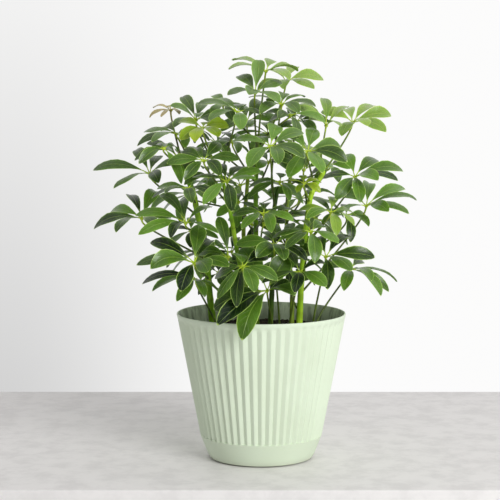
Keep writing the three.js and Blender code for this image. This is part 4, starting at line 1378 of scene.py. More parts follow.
def drop_selection() -> None:
    """Leaves edit mode and deselects every object."""
    if bpy.context.mode != "OBJECT":
        bpy.ops.object.mode_set(mode="OBJECT")
    bpy.ops.object.select_all(action="DESELECT")


def take_up(piece: bpy.types.Object) -> None:
    """Makes a piece the only one selected.

    Args:
        piece: The piece.
    """
    drop_selection()
    piece.select_set(True)
    bpy.context.view_layer.objects.active = piece


def pick(test: Callable[[bmesh.types.BMVert], bool]) -> None:
    """Selects just the corners that pass a test, in edit mode.

    Args:
        test: True for a corner that is wanted.
    """
    shape = bmesh.from_edit_mesh(bpy.context.object.data)
    shape.verts.index_update()
    for edge in shape.edges:
        edge.select_set(False)
    for face in shape.faces:
        face.select_set(False)
    for vert in shape.verts:
        vert.select_set(bool(test(vert)))
    shape.select_flush(True)
    bmesh.update_edit_mesh(bpy.context.object.data)


def smooth(piece: bpy.types.Object, degrees: float) -> None:
    """Shades a piece smooth, apart from edges sharper than an angle.

    Args:
        piece: The piece.
        degrees: The angle.
    """
    take_up(piece)
    bpy.ops.object.shade_smooth_by_angle(angle=math.radians(degrees))
    drop_selection()


def settle_place(piece: bpy.types.Object) -> None:
    """Puts a piece's place, turn and size into its mesh.

    Args:
        piece: The piece.
    """
    take_up(piece)
    bpy.ops.object.transform_apply(location=True, rotation=True, scale=True)
    drop_selection()


@contextmanager
def shaping(piece: bpy.types.Object) -> Iterator[None]:
    """Holds a piece in edit mode, with all of it selected at first.

    Args:
        piece: The piece.

    Returns:
        Nothing, while the mode holds.
    """
    take_up(piece)
    bpy.ops.object.mode_set(mode="EDIT")
    bpy.ops.mesh.select_all(action="SELECT")
    yield
    bpy.ops.object.mode_set(mode="OBJECT")


def close_round(radius: float, z: float, rows: Sequence[Span]) -> None:
    """Draws the selected ring on through rows of a round outline and closes it in a point.

    Args:
        radius: The ring's radius, in millimetres.
        z: Its height.
        rows: The radius and height of each ring that follows.
    """
    for next_radius, next_z in rows:
        move = {"value": (0, 0, (next_z - z) * METRE)}
        bpy.ops.mesh.extrude_edges_move(TRANSFORM_OT_translate=move)
        size = next_radius / radius
        bpy.ops.transform.resize(value=(size, size, 1), center_override=(0, 0, next_z * METRE))
        radius, z = next_radius, next_z
    bpy.ops.mesh.merge(type="CENTER")


def face_outwards() -> None:
    """Turns every face of the piece being shaped outwards."""
    bpy.ops.mesh.select_all(action="SELECT")
    bpy.ops.mesh.normals_make_consistent(inside=False)


def start_disc(name: str, sides: int, radius: float, z: float, fill: str,
               turn: float = 0.0) -> bpy.types.Object:
    """Adds the round bottom that a pot or a plug is drawn up from.

    Args:
        name: What to call the piece.
        sides: How many sides it has.
        radius: Its radius, in millimetres.
        z: Its height.
        fill: How it is filled.
        turn: How far it is turned, in radians.

    Returns:
        The piece, its place in its mesh.
    """
    drop_selection()
    bpy.ops.mesh.primitive_circle_add(vertices=sides, radius=radius * METRE, fill_type=fill,
                                      location=(0, 0, z * METRE), rotation=(0, 0, turn))
    piece = bpy.context.object
    piece.name = piece.data.name = name
    settle_place(piece)
    return piece


@dataclass
class Pattern:
    """A modelled shape, kept as lists so that it can be laid along many lines."""

    points: np.ndarray
    faces: list[tuple[int, ...]]
    uv: np.ndarray
    kinds: list[int]

    @classmethod
    def take(cls, piece: bpy.types.Object, uv: Callable[[np.ndarray], np.ndarray],
             kind: Callable[[bpy.types.MeshPolygon], int]) -> "Pattern":
        """Reads a piece's mesh and takes the piece away.

        Args:
            piece: What was modelled.
            uv: Gives each point its place on the surface map.
            kind: Gives each face its material's number.

        Returns:
            The pattern.
        """
        drop_selection()
        mesh = piece.data
        flat = np.zeros(len(mesh.vertices) * 3)
        mesh.vertices.foreach_get("co", flat)
        points = flat.reshape(-1, 3)
        faces = [tuple(face.vertices) for face in mesh.polygons]
        kinds = [kind(face) for face in mesh.polygons]
        bpy.data.objects.remove(piece)
        bpy.data.meshes.remove(mesh)
        return cls(points, faces, uv(points), kinds)


def model_leaflet() -> Pattern:
    """Models one flat leaflet blade: along x, across y, its underside below zero.

    Returns:
        The blade, 1 long, 2 broad, with a thin rim all round.
    """
    drop_selection()
    last = len(BLADE_ROWS) - 1
    bpy.ops.mesh.primitive_grid_add(x_subdivisions=last, y_subdivisions=4, size=1,
                                    location=(0.5, 0, 0))
    piece = bpy.context.object
    settle_place(piece)
    places, halves = zip(*BLADE_ROWS)
    with shaping(piece):
        for i, (place, half) in reversed(list(enumerate(BLADE_ROWS))):
            at = i / last
            pick(lambda vert, at=at: abs(vert.co.x - at) < 0.01)
            bpy.ops.transform.resize(value=(1, 2 * half, 1), center_override=(at, 0, 0))
            bpy.ops.transform.translate(value=(2 + place - at, 0, 0))
        bpy.ops.mesh.select_all(action="SELECT")
        bpy.ops.transform.translate(value=(-2, 0, 0))
        count = len(piece.data.vertices)
        bpy.ops.mesh.duplicate()
        bpy.ops.mesh.flip_normals()
        pick(lambda vert: vert.index >= count and not vert.is_boundary)
        bpy.ops.transform.translate(value=(0, 0, -1))
        pick(lambda vert: vert.co.z < -0.5 and abs(vert.co.y) < 0.01)
        bpy.ops.transform.translate(value=(0, 0, -1.2))
        bpy.ops.mesh.select_all(action="SELECT")
        bpy.ops.mesh.remove_doubles(threshold=0.0005)

    def spread(points: np.ndarray) -> np.ndarray:
        """Maps the blade by its length and by its share of the half breadth."""
        half = np.interp(points[:, 0], places, halves)
        return np.column_stack([points[:, 0], 0.5 + 0.5 * points[:, 1] / half])

    return Pattern.take(piece, spread, lambda face: UPPER_KIND if face.normal.z > 0 else UNDER_KIND)


def model_tube(sides: int, rings: int, kind: int) -> Pattern:
    """Models a plain round length, 1 long and 1 in radius, cut into rings.

    Args:
        sides: How many sides it has.
        rings: How many lengths it is cut into.
        kind: The number of its material.

    Returns:
        The tube, along z, with closed ends.
    """
    drop_selection()
    bpy.ops.mesh.primitive_cylinder_add(vertices=sides, radius=1, depth=1,
                                        end_fill_type="NGON", location=(0, 0, 0.5))
    piece = bpy.context.object
    settle_place(piece)
    with shaping(piece):
        shape = bmesh.from_edit_mesh(piece.data)
        bpy.ops.mesh.select_all(action="DESELECT")
        for edge in shape.edges:
            low, high = edge.verts
            edge.select_set(abs(low.co.z - high.co.z) > 0.5)
        bmesh.update_edit_mesh(piece.data)
        bpy.ops.mesh.subdivide(number_cuts=rings - 1)
    return Pattern.take(
        piece, lambda points: np.column_stack([points[:, 2], np.full(len(points), 0.5)]),
        lambda _: kind,
    )


def fresh_end(points: np.ndarray) -> np.ndarray:
    """Maps all points to the bright end of the stalk's material."""
    return np.tile([1.0, 0.5], (len(points), 1))


def model_knob() -> Pattern:
    """Models the small flat knob where a leaf's leaflets meet.

    Returns:
        The knob, about 1 in radius.
    """
    drop_selection()
    bpy.ops.mesh.primitive_ico_sphere_add(subdivisions=2, radius=1)
    piece = bpy.context.object
    with shaping(piece):
        bpy.ops.transform.resize(value=(1, 1, 0.72))
    return Pattern.take(piece, fresh_end, lambda _: STEM_KIND)


@dataclass
class MeshPile:
    """Copies of patterns, gathered to be made into one piece."""

    points: list[np.ndarray] = field(default_factory=list)
    faces: list[tuple[int, ...]] = field(default_factory=list)
    uv: list[np.ndarray] = field(default_factory=list)
    kinds: list[int] = field(default_factory=list)
    tints: list[np.ndarray] = field(default_factory=list)
    count: int = 0

    def lay(self, pattern: Pattern, points: np.ndarray, tint: float | np.ndarray = 0.5,
            uv: np.ndarray | None = None) -> None:
        """Adds a copy of a pattern with its points moved.

        Args:
            pattern: What is copied.
            points: Where its points lie now, in millimetres.
            tint: A number kept on the mesh for the material.
            uv: Another surface map, if not the pattern's own.
        """
        self.points.append(points)
        self.faces += [tuple(i + self.count for i in face) for face in pattern.faces]
        self.uv.append(pattern.uv if uv is None else uv)
        self.kinds += pattern.kinds
        self.tints.append(np.broadcast_to(tint, len(points)))
        self.count += len(points)

    def make(self, name: str, materials: Sequence[bpy.types.Material],
             degrees: float = 62.0) -> bpy.types.Object:
        """Makes the piece.

        Args:
            name: What to call it.
            materials: Its materials, in the order of the faces' numbers.
            degrees: Edges sharper than this stay sharp.

        Returns:
            The piece, at the origin.
        """
        mesh = bpy.data.meshes.new(name)
        points = np.vstack(self.points) * METRE
        mesh.from_pydata(points.tolist(), [], self.faces)
        for material in materials:
            mesh.materials.append(material)
        mesh.polygons.foreach_set("material_index", self.kinds)
        corners = np.zeros(len(mesh.loops), int)
        mesh.loops.foreach_get("vertex_index", corners)
        layer = mesh.uv_layers.new(name="surface")
        layer.data.foreach_set("uv", np.vstack(self.uv)[corners].ravel())
        tint = mesh.attributes.new(TINT, "FLOAT", "POINT")
        tint.data.foreach_set("value", np.concatenate(self.tints))
        mesh.update()
        piece = bpy.data.objects.new(name, mesh)
        bpy.context.scene.collection.objects.link(piece)
        smooth(piece, degrees)
        return piece


def laid_tube(pattern: Pattern, line: np.ndarray, radii: np.ndarray) -> np.ndarray:
    """Bends a tube along a line.

    Args:
        pattern: The tube; its rings are spaced evenly from 0 to 1.
        line: A point for each ring.
        radii: A radius for each ring.

    Returns:
        The tube's points.
    """
    rings = len(line) - 1
    ways = np.gradient(line, axis=0)
    ways /= np.linalg.norm(ways, axis=1)[:, None]
    across = np.array([1.0, 0.0, 0.0]) if abs(ways[0][0]) < 0.9 else np.array([0.0, 1.0, 0.0])
    frames = []
    for way in ways:
        across = unit(across - way * (across @ way))
        frames.append((across, np.cross(way, across)))
    points = np.zeros_like(pattern.points)
    places = np.rint(pattern.points[:, 2] * rings).astype(int)
    for i, ((x, y, _), ring) in enumerate(zip(pattern.points, places)):
        first, second = frames[ring]
        points[i] = line[ring] + (first * x + second * y) * radii[ring]
    return points


@dataclass
class LeafMaker:
    """Models every compound leaf from one blade, one petiolule, one stalk and one knob.

    The spans are what each leaflet's fold, roll, wave, curl and bow are drawn from.
    """

    fold: Span = (0.04, 0.42)
    roll: Span = (0.04, 0.28)
    wave: Span = (0.15, 0.8)
    curl: Span = (0.0, 0.17)
    bow: Span = (-0.04, 0.04)
    blade_start: float = 0.12
    thickness: float = 0.42
    petiolule_radius: float = 0.66
    petiolule_taper: tuple[float, ...] = (1.25, 1, 0.95, 0.6)
    hub_radius: float = 2.3
    stalk_rings: int = 14
    stalk_root: float = 1.4

    def __post_init__(self) -> None:
        """Models the patterns and the finishes."""
        self.blade = model_leaflet()
        self.petiolule = model_tube(5, len(self.petiolule_taper) - 1, STEM_KIND)
        self.stalk = model_tube(7, self.stalk_rings, STEM_KIND)
        self.knob = model_knob()
        self.finishes = {finish.tone: [finish.upper(), finish.underside(), finish.stem()]
                         for finish in LEAF_FINISHES}

    def make(self, leaf: SettledLeaf) -> bpy.types.Object:
        """Models one leaf as one piece.

        Args:
            leaf: The leaf, settled.

        Returns:
            The piece.
        """
        pile = MeshPile()
        for form in leaf.forms:
            self.add_leaflet(pile, form, leaf.draw)
        self.add_knob(pile, leaf)
        self.add_stalk(pile, leaf)
        return pile.make(f"fine_leaf_{leaf.plan.name}", self.finishes[leaf.plan.tone])

    def add_leaflet(self, pile: MeshPile, form: LeafletForm, draw: Draws) -> None:
        """Lays a blade and its petiolule along a settled leaflet's line.

        Args:
            pile: What they are added to.
            form: The settled leaflet.
            draw: The leaf's draws.
        """
        spans = (self.fold, self.roll, self.wave, (0, TURN), self.curl, self.bow)
        fold, roll, wave, phase, curl, bow = (draw.between(*span) for span in spans)
        length = float(np.linalg.norm(form.tip - form.root))
        along, across, depth = self.blade.points.T
        share = self.blade_start + (1 - self.blade_start) * along
        middle = form.point(share)
        up = np.cross(form.side, form.ahead(share))
        up /= np.linalg.norm(up, axis=1)[:, None]
        half = form.breadth / 2
        lift = half * (fold * np.abs(across) - roll * across**2)
        lift += wave * across**2 * np.sin(along * 9 + phase + across)
        lift -= curl * length * np.maximum(0, along - 0.55) ** 2 * 2.2
        lift += depth * self.thickness
        shift = across * half + bow * length * np.sin(math.pi * along)
        points = middle + form.side * shift[:, None] + up * lift[:, None]
        tint = draw.next()
        pile.lay(self.blade, points, tint)
        radii = np.array(self.petiolule_taper) * self.petiolule_radius
        shares = np.linspace(0.02, self.blade_start + 0.04, len(radii))
        tube = laid_tube(self.petiolule, form.point(shares), radii)
        pile.lay(self.petiolule, tube, tint, fresh_end(tube))

    def add_knob(self, pile: MeshPile, leaf: SettledLeaf) -> None:
        """Sets the knob at the hub, square to the way the leaf faces.

        Args:
            pile: What it is added to.
            leaf: The leaf.
        """
        across = unit(np.cross(leaf.facing, [0.3, 0.9, 0.1]))
        turn = np.array([across, np.cross(leaf.facing, across), leaf.facing])
        pile.lay(self.knob, leaf.hub + self.knob.points @ turn * self.hub_radius)

    def add_stalk(self, pile: MeshPile, leaf: SettledLeaf) -> None:
        """Lays the stalk from inside its cane, or from the soil, up to the hub.

        Args:
            pile: What it is added to.
            leaf: The leaf.
        """
        if leaf.plan.soil:
            start = np.array([*leaf.plan.soil, SOIL_TOP - 6])
        else:
            axis, _, _ = cane_at(CANE_OF[leaf.plan.cane], leaf.plan.at)
            start = leaf.handles[3] - unit(leaf.handles[3] - axis) * self.stalk_root
        count = self.stalk_rings - 2
        curve = [cubic_point(leaf.handles, 1 - i / count) for i in range(count + 1)]
        line = [start, *curve, leaf.hub]
        share = np.linspace(0, 1, len(line))
        radii = 0.98 + 0.3 * (1 - share) ** 2 + 0.75 * np.exp(-share * 26)
        radii += 0.45 * np.exp(-(1 - share) * 22)
        pile.lay(self.stalk, laid_tube(self.stalk, np.array(line), radii))


@dataclass
class Cane:
    """One upright cane with scars where leaves once grew and a bud on top.

    Scars are placed by shares of the cane's length, the bud by parts of its radius.
    """

    plan: CanePlan
    rings: int = 66
    sides: int = 14
    inset: float = 0.985
    bud_heights: tuple[float, ...] = (0.35, 0.7, 0.95, 1.1)
    bud_widths: tuple[float, ...] = (0.93, 0.74, 0.5, 0.24, 0.05)
    first_scar: float = 0.06
    last_scar: float = 0.99
    scar_gap: Span = (0.05, 0.1)
    scar_width: float = 0.011
    scar_swell: float = 0.075

    def make(self) -> bpy.types.Object:
        """Models the cane.

        Returns:
            The piece.
        """
        pattern = model_tube(self.sides, self.rings, 0)
        radius = self.plan.radius
        ends = len(self.bud_widths)
        shares = np.linspace(0, 1, self.rings - ends)
        path = [smooth_line(self.plan.path, share) for share in shares]
        low = np.array([path[0][0], path[0][1], SOIL_TOP - 8])
        way = unit(path[-1] - path[-2])
        bud = [path[-1] + way * radius * height for height in self.bud_heights]
        line = np.array([low, path[0] - UP * 0.5, *path[1:], *bud, bud[-1] + way * 0.15])
        scars = self.scars(shares)
        body = radius * (1 - CANE_TAPER * shares) * self.inset + scars * radius * self.scar_swell
        radii = np.concatenate([body[:1], body, body[-1] * np.array(self.bud_widths)])
        marks = np.concatenate([[0.0], scars * 0.8, np.zeros(ends)])
        points = laid_tube(pattern, line, radii)
        ring = np.rint(pattern.points[:, 2] * self.rings).astype(int)
        turn = np.arctan2(pattern.points[:, 1], pattern.points[:, 0])
        uneven = 0.12 * np.sin(turn * 2 + ring * 0.4) + 0.08 * np.sin(turn * 3 - ring * 0.23)
        axis = line[ring]
        points = axis + (points - axis) * (1 + 0.22 * uneven)[:, None]
        pile = MeshPile()
        pile.lay(pattern, points, marks[ring])
        name = f"fine_cane_{self.plan.name}"
        return pile.make(name, [CANE_FINISHES[self.plan.name].make(name)], 50)

    def scars(self, shares: np.ndarray) -> np.ndarray:
        """Returns how deep each ring lies in a leaf scar, from 0 to 1.

        Args:
            shares: Each ring's share of the cane's length.

        Returns:
            A depth for each ring.
        """
        draw = Draws(int(self.plan.radius * 1000) + 17)
        depths = np.zeros(len(shares))
        place = self.first_scar
        while place < self.last_scar:
            near = np.abs(shares - place)
            depths = np.maximum(depths, np.exp(-((near / self.scar_width) ** 2)))
            place += draw.between(*self.scar_gap)
        return depths


def wall_at(z: float) -> float:
    """Returns the radius of the pot's outside at a height: the foot below, the wall above.

    Args:
        z: The height, in millimetres.

    Returns:
        The radius, in millimetres.
    """
    if z < FOOT_HEIGHT:
        return FOOT_RADIUS + (FOOT_TOP_RADIUS - FOOT_RADIUS) * z / FOOT_HEIGHT
    slope = (RIM_RADIUS - FOOT_TOP_RADIUS) / (POT_HEIGHT - FOOT_HEIGHT)
    return FOOT_TOP_RADIUS + slope * (z - FOOT_HEIGHT)


@dataclass
class Pot:
    """The round moulded pot: a smooth foot, a pleated wall and a narrow plain rim.

    A groove is so many millimetres deep, and in shares of that at each line of a pleat.
    """

    base_radius: float = FOOT_RADIUS - 7.0
    per_pleat: int = 8
    depth: float = 2.1
    groove: tuple[float, ...] = (0.0, 0.2, 0.47, 0.76, 1.0, 0.76, 0.47, 0.2)

    def make(self) -> bpy.types.Object:
        """Models the pot.

        Returns:
            The piece.
        """
        sides = PLEATS * self.per_pleat
        piece = start_disc("fine_pot", sides, self.base_radius, 0.0, "TRIFAN", -math.pi / 2)
        with shaping(piece):
            bpy.ops.mesh.flip_normals()
            pick(lambda vert: vert.co.xy.length > 0.01)
            close_round(self.base_radius, 0.0, self.profile())
            for height, share in self.fades():
                self.fold_row(height, share)
            face_outwards()
        for material in (PotFinish().outside(), PotFinish().inside()):
            piece.data.materials.append(material)
        for face in piece.data.polygons:
            inward = face.normal.xy.dot(face.center.xy) < -0.3 * face.center.xy.length
            face.material_index = int(inward)
        smooth(piece, 30)
        return piece

    def profile(self) -> list[Span]:
        """Lists the outline's corners as (radius, height), up the outside and down the inside.

        Returns:
            The corners.
        """
        high = POT_HEIGHT - RIM_BAND
        foot = [(FOOT_RADIUS - 6.6, 1.5), (FOOT_RADIUS - 0.3, 1.5), (FOOT_RADIUS + 0.4, 2.4),
                (wall_at(9), 9), (wall_at(18), 18), (wall_at(24.8), 24.8),
                (FOOT_TOP_RADIUS - 0.15, 26.1), (FOOT_TOP_RADIUS, FOOT_HEIGHT)]
        wall = [(wall_at(z), z) for z, _ in self.fades() if z < high]
        rim = [(wall_at(high), high), (RIM_RADIUS - 0.1, 162.4), (RIM_RADIUS - 0.35, 163.5),
               (RIM_RADIUS - 0.9, POT_HEIGHT), (RIM_RADIUS - 1.6, 163.8),
               (RIM_RADIUS - 2.1, 163.1), (RIM_RADIUS - 2.4, 161.6)]
        inside = [(wall_at(z) - WALL, z) for z in (158.0, 150.0, 140.0, FOOT_HEIGHT, FLOOR)]
        return foot + wall + rim + inside + [(20.0, FLOOR), (1.0, FLOOR)]

    def fades(self) -> list[Span]:
        """Lists heights of the pleated wall and how deep the grooves are at each.

        Returns:
            Pairs of a height and a share of the full depth.
        """
        top = POT_HEIGHT - RIM_BAND
        return [(FOOT_HEIGHT + 0.4, 0.95), (FOOT_HEIGHT + 1.4, 1.0), (105.0, 1.0),
                (top - 6.5, 1.0), (top - 4.0, 0.9), (top - 2.2, 0.6), (top - 0.8, 0.2)]

    def fold_row(self, height: float, share: float) -> None:
        """Folds in the grooves along one row of the wall.

        Args:
            height: The row's height, in millimetres.
            share: How much of the full depth.
        """
        radius = wall_at(height)
        step = TURN / (PLEATS * self.per_pleat)
        for phase, part in enumerate(self.groove):
            if not part:
                continue

            def in_row(vert: bmesh.types.BMVert, phase: int = phase) -> bool:
                """Tests a corner's height, its side of the wall and its place in the pleat.

                Args:
                    vert: The corner.
                    phase: The place that is wanted.

                Returns:
                    True if it is in the row.
                """
                level = abs(vert.co.z - height * METRE) < 1e-5
                outer = vert.co.xy.length > (radius - WALL * 0.7) * METRE
                turn = math.atan2(vert.co.y, vert.co.x)
                return level and outer and round(turn / step) % self.per_pleat == phase

            pick(in_row)
            size = 1 - self.depth * share * part / radius
            bpy.ops.transform.resize(value=(size, size, 1),
                                     center_override=(0, 0, height * METRE))


@dataclass
class Soil:
    """The compost: a filled plug with a lumpy crumbly top, its sizes in millimetres.

    The rings are shares of the plug's radius, and past the brow, another, the top falls.
    """

    sides: int = 96
    rings: tuple[float, ...] = (0.985, 0.94, 0.89, 0.83, 0.77, 0.7, 0.63, 0.56, 0.49, 0.41,
                                0.33, 0.25, 0.17, 0.09)
    brow: float = 0.8
    crumbs: int = 620
    crumb_size: Span = (0.5, 2.2)
    chips: int = 60
    chip_size: tuple[Span, ...] = ((3, 8), (1.5, 3.5), (0.6, 1.5))
    rootlets: int = 34
    rootlet_rings: int = 9
    rootlet_step: Span = (1.2, 3.0)
    rootlet_radius: Span = (0.25, 0.7)
    rootlet_reach: float = 86

    def height(self, x: float, y: float) -> float:
        """Returns the compost's height at a place, in millimetres.

        Args:
            x: The place, to the right.
            y: The place, to the back.

        Returns:
            The height.
        """
        reach = math.hypot(x, y) / (wall_at(SOIL_TOP) - WALL)
        swell = math.sin(x * 0.21 + 1) * math.cos(y * 0.17)
        lump = 0.5 * math.sin(x * 0.47 - y * 0.39)
        fall = max(0.0, reach - self.brow) / (1 - self.brow)
        fade = max(0.0, 1 - fall)
        rough = noise.noise(Vector((x * 0.12, y * 0.12, 3.0)))
        fine = noise.noise(Vector((x * 0.45, y * 0.45, 9.0)))
        crown = SOIL_TOP - 2.0 * fall + (1 - min(1.0, reach / self.brow))
        return crown + fade * SOIL_LUMP * (swell + lump) * 0.9 + rough * 1.6 + fine * 0.8

    def make(self) -> bpy.types.Object:
        """Models the plug.

        Returns:
            The piece.
        """
        low, edge = FLOOR + SEAT_GAP, SOIL_TOP - 3
        start, knee, brim = ((wall_at(z) - WALL - 2 * SEAT_GAP, z)
                             for z in (low, FOOT_HEIGHT, edge))
        piece = start_disc("fine_soil", self.sides, *start, "NGON")
        with shaping(piece):
            bpy.ops.mesh.flip_normals()
            close_round(*start, [knee, brim, *((brim[0] * share, edge) for share in self.rings)])
            face_outwards()
        for vert in piece.data.vertices:
            x, y = vert.co.x / METRE, vert.co.y / METRE
            if vert.co.z > 0.1 and math.hypot(x, y) < brim[0] - 0.1:
                vert.co.z = self.height(x, y) * METRE
        piece.data.materials.append(SoilFinish().make("compost"))
        smooth(piece, 80)
        return piece

    def places(self, seed: int, count: int) -> Iterator[tuple[Draws, float, float]]:
        """Draws places on the compost, each with the draws for what lies there.

        Args:
            seed: What the draws start from.
            count: How many places.

        Returns:
            The draws, x and y of each place in turn.
        """
        draw = Draws(seed)
        for _ in range(count):
            reach = (wall_at(SOIL_TOP) - WALL - 4) * math.sqrt(draw.next())
            turn = draw.between(0, TURN)
            yield draw, reach * math.cos(turn), reach * math.sin(turn)

    def make_crumbs(self) -> bpy.types.Object:
        """Scatters crumbs of compost over the top.

        Returns:
            The piece.
        """
        drop_selection()
        bpy.ops.mesh.primitive_ico_sphere_add(subdivisions=1, radius=1)
        lump = Pattern.take(bpy.context.object, lambda points: points[:, :2], lambda _: 0)
        pile = MeshPile()
        for draw, x, y in self.places(4177, self.crumbs):
            size = draw.between(*self.crumb_size) * draw.between(0.6, 1.0)
            jitter = draw.rows(len(lump.points), 0.6, 1.3)
            squash = np.array([1, draw.between(0.6, 1), draw.between(0.5, 0.9)])
            z = self.height(x, y) + size * 0.15
            pile.lay(lump, lump.points * jitter * squash * size + (x, y, z), draw.next())
        return pile.make("soil_crumbs", [SoilFinish().make("compost_crumbs", 0.12)], 30)

    def make_chips(self) -> bpy.types.Object:
        """Scatters bark chips over the top.

        Returns:
            The piece.
        """
        drop_selection()
        bpy.ops.mesh.primitive_cube_add(size=1)
        piece = bpy.context.object
        with shaping(piece):
            bpy.ops.mesh.subdivide(number_cuts=1)
            pick(lambda vert: abs(vert.co.x) > 0.4)
            bpy.ops.transform.resize(value=(0.9, 0.55, 0.5))
        chip = Pattern.take(piece, lambda points: points[:, :2], lambda _: 0)
        pile = MeshPile()
        for draw, x, y in self.places(90211, self.chips):
            size = np.array([draw.between(*span) for span in self.chip_size])
            jitter = draw.rows(len(chip.points), -0.12, 0.12)
            turn, lean = draw.between(0, TURN), draw.between(-0.3, 0.3)
            across = unit(np.array([math.cos(turn), math.sin(turn), lean]))
            side = unit(np.cross(UP, across))
            turns = np.array([across, side, np.cross(across, side)])
            points = (chip.points + jitter) * size @ turns
            pile.lay(chip, points + (x, y, self.height(x, y) + 0.5), draw.next())
        finish = BitFinish(Mark(34, 26, 18), Mark(82, 62, 42))
        return pile.make("bark_chips", [finish.make("bark")], 30)

    def make_rootlets(self) -> bpy.types.Object:
        """Lays thin dry rootlets and twigs on the top.

        Returns:
            The piece.
        """
        tube = model_tube(5, self.rootlet_rings, 0)
        pile = MeshPile()
        for draw, x, y in self.places(33107, self.rootlets):
            turn, bend = draw.between(0, TURN), draw.between(-0.16, 0.16)
            step = draw.between(*self.rootlet_step)
            line = []
            for _ in range(self.rootlet_rings + 1):
                line.append((x, y, self.height(x, y) + draw.between(0.2, 1.4)))
                turn += bend + draw.between(-0.25, 0.25)
                if self.rootlet_reach < math.hypot(x + step * math.cos(turn),
                                                   y + step * math.sin(turn)):
                    turn += math.pi / 2
                x, y = x + step * math.cos(turn), y + step * math.sin(turn)
            thick = draw.between(*self.rootlet_radius)
            radii = np.linspace(thick, thick * 0.4, len(line))
            pile.lay(tube, laid_tube(tube, np.array(line), radii), draw.next())
        finish = BitFinish(Mark(30, 22, 16), Mark(84, 64, 44))
        return pile.make("dry_rootlets", [finish.make("rootlet")], 50)


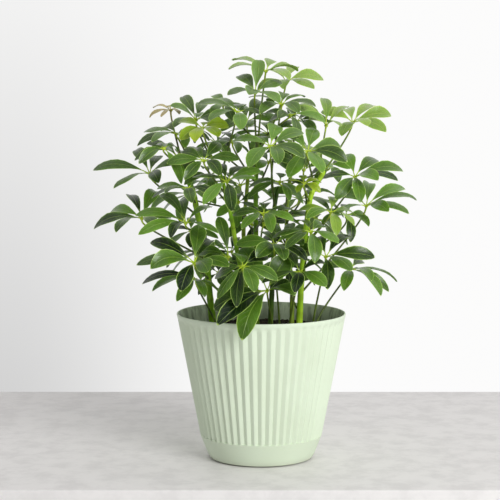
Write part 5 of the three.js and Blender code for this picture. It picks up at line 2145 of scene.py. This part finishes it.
@dataclass
class Studio:
    """The pale table, the soft lights and the camera, in metres, watts and degrees."""

    back: float = 0.385
    ahead: float = 0.154
    drop: float = 0.016
    reach: float = 2.5
    lamp_place: Point = (1.28, -1.98, 1.3)
    lamp_aim: Point = (0, 0, 0.22)
    lamp_size: float = 1.4
    lamp_power: float = 49
    eye: Point = (-0.0126, -1.7, 0.398)
    pitch: float = 84.5
    lens: float = 109.87
    wall_light: float = 0.973
    top: tuple[Mark, Mark] = (Mark(233, 230, 229), Mark(221, 218, 217))
    # Painted light: the board's front face and the table in front are paler than the top, for the
    # light they would catch
    edge: tuple[Mark, Mark] = (Mark(238, 236, 235), Mark(230, 228, 227))

    def lay_table(self) -> None:
        """Lays a board with its far edge where the wall begins, on a wider table in front."""
        drop_selection()
        bpy.ops.mesh.primitive_plane_add(size=1)
        table = bpy.context.object
        table.name = "table_top"
        table.scale = (2 * self.reach, self.ahead + self.back, 1)
        table.location = (0, (self.back - self.ahead) / 2, -0.0002)
        settle_place(table)
        with shaping(table):
            pick(lambda vert: vert.co.y < 0)
            for step in ((0, -0.0006, -0.0003), (0, -0.0003, -0.0008), (0, 0, -self.drop),
                         (0, self.ahead - self.reach, 0)):
                bpy.ops.mesh.extrude_edges_move(TRANSFORM_OT_translate={"value": step})
        for name, marks in (("table_paint", self.top), ("table_front_painted_light", self.edge)):
            table.data.materials.append(self.paint(name, marks))
        # The faces in front of the board take the paler marks of painted light
        for face in table.data.polygons:
            face.material_index = int(face.center.y < -self.ahead)

    def paint(self, name: str, marks: tuple[Mark, Mark]) -> bpy.types.Material:
        """Makes a matt, faintly clouded paint between two marks.

        Args:
            name: What to call it.
            marks: The two marks.

        Returns:
            The material.
        """
        bench = Bench(name)
        cloud = bench.noise(26, 4, 0.7)
        grain = bench.noise(900, 2)
        colour = bench.mix(cloud.step(0.4, 0.66), *marks)
        return bench.finish(colour, grain * 0.1 + 0.5, 0.3)

    def light(self) -> None:
        """Hangs a soft sky and one broad light, high to the right of the camera."""
        world = bpy.data.worlds.new("studio")
        bpy.context.scene.world = world
        bench = Bench(world)
        x, y, z = bench.parts("Generated")
        # Painted shade: the backdrop that the camera sees darkens towards its lower left
        corner = x.step(0.0, -0.164) * (0.148 - z.most(-0.22) * 0.95).most(0.09)
        seen = self.sky(bench, self.wall_light - corner)
        shed = self.sky(bench, y * 0.42 + x * 0.06 + z.most(0) * 0.12 + 0.5)
        by_camera = bench.shade("ShaderNodeLightPath", output="Is Camera Ray")
        both = bench.shade("ShaderNodeMixShader", inputs={0: by_camera, 1: shed, 2: seen})
        bench.node("ShaderNodeOutputWorld", inputs={0: both})
        data = bpy.data.lights.new("key", "AREA")
        data.shape = "SQUARE"
        data.size = self.lamp_size
        data.energy = self.lamp_power
        lamp = bpy.data.objects.new("key", data)
        lamp.location = self.lamp_place
        way = Vector(self.lamp_aim) - Vector(self.lamp_place)
        lamp.rotation_euler = way.to_track_quat("-Z", "Y").to_euler()
        bpy.context.scene.collection.objects.link(lamp)

    def sky(self, bench: Bench, strength: Shade) -> Shade:
        """Returns a nearly white sky of a brightness."""
        inputs = {"Color": (1.0, 0.998, 0.996, 1.0), "Strength": strength}
        return bench.shade("ShaderNodeBackground", inputs=inputs)

    def set_camera(self) -> None:
        """Stands the camera where the plant is seen from, a little above its pot."""
        data = bpy.data.cameras.new("view")
        data.sensor_width = 36
        data.lens = self.lens
        camera = bpy.data.objects.new("view", data)
        camera.location = self.eye
        camera.rotation_euler = (math.radians(self.pitch), 0, 0)
        bpy.context.scene.collection.objects.link(camera)
        bpy.context.scene.camera = camera
        bpy.context.scene.view_settings.view_transform = "Standard"


def declare(piece: bpy.types.Object, slot: str, *nodes: str) -> None:
    """Hangs a piece on the root, hides the solids that it stands for, and logs its faces.

    Args:
        piece: The piece.
        slot: The record's name for its finish; not used.
        nodes: The solids that it stands for, if any.
    """
    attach(piece, "root")
    if nodes:
        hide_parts(*nodes)
    log.info("%s: %d faces", piece.name, len(piece.data.polygons))


def main() -> None:
    """Builds the plant, part by part, and reports each piece."""
    logging.basicConfig(level=logging.INFO, format="%(message)s")
    studio = Studio()
    studio.set_camera()
    studio.lay_table()
    studio.light()
    declare(Pot().make(), "pot", "pot")
    soil = Soil()
    declare(soil.make(), "soil", "soil")
    for make in (soil.make_crumbs, soil.make_chips, soil.make_rootlets):
        declare(make(), "soil")
    for plan in CANES:
        declare(Cane(plan).make(), "cane", f"cane_{plan.name}")
    maker = LeafMaker()
    settlement = Settlement()
    for leaf in settlement.settle(LEAVES):
        declare(maker.make(leaf), leaf.plan.tone.value, f"leaf_{leaf.plan.name}")
    for leaf in settlement.settle(INNER_LEAVES):
        declare(maker.make(leaf), leaf.plan.tone.value)
    drop_selection()


if __name__ == "__main__":
    main()
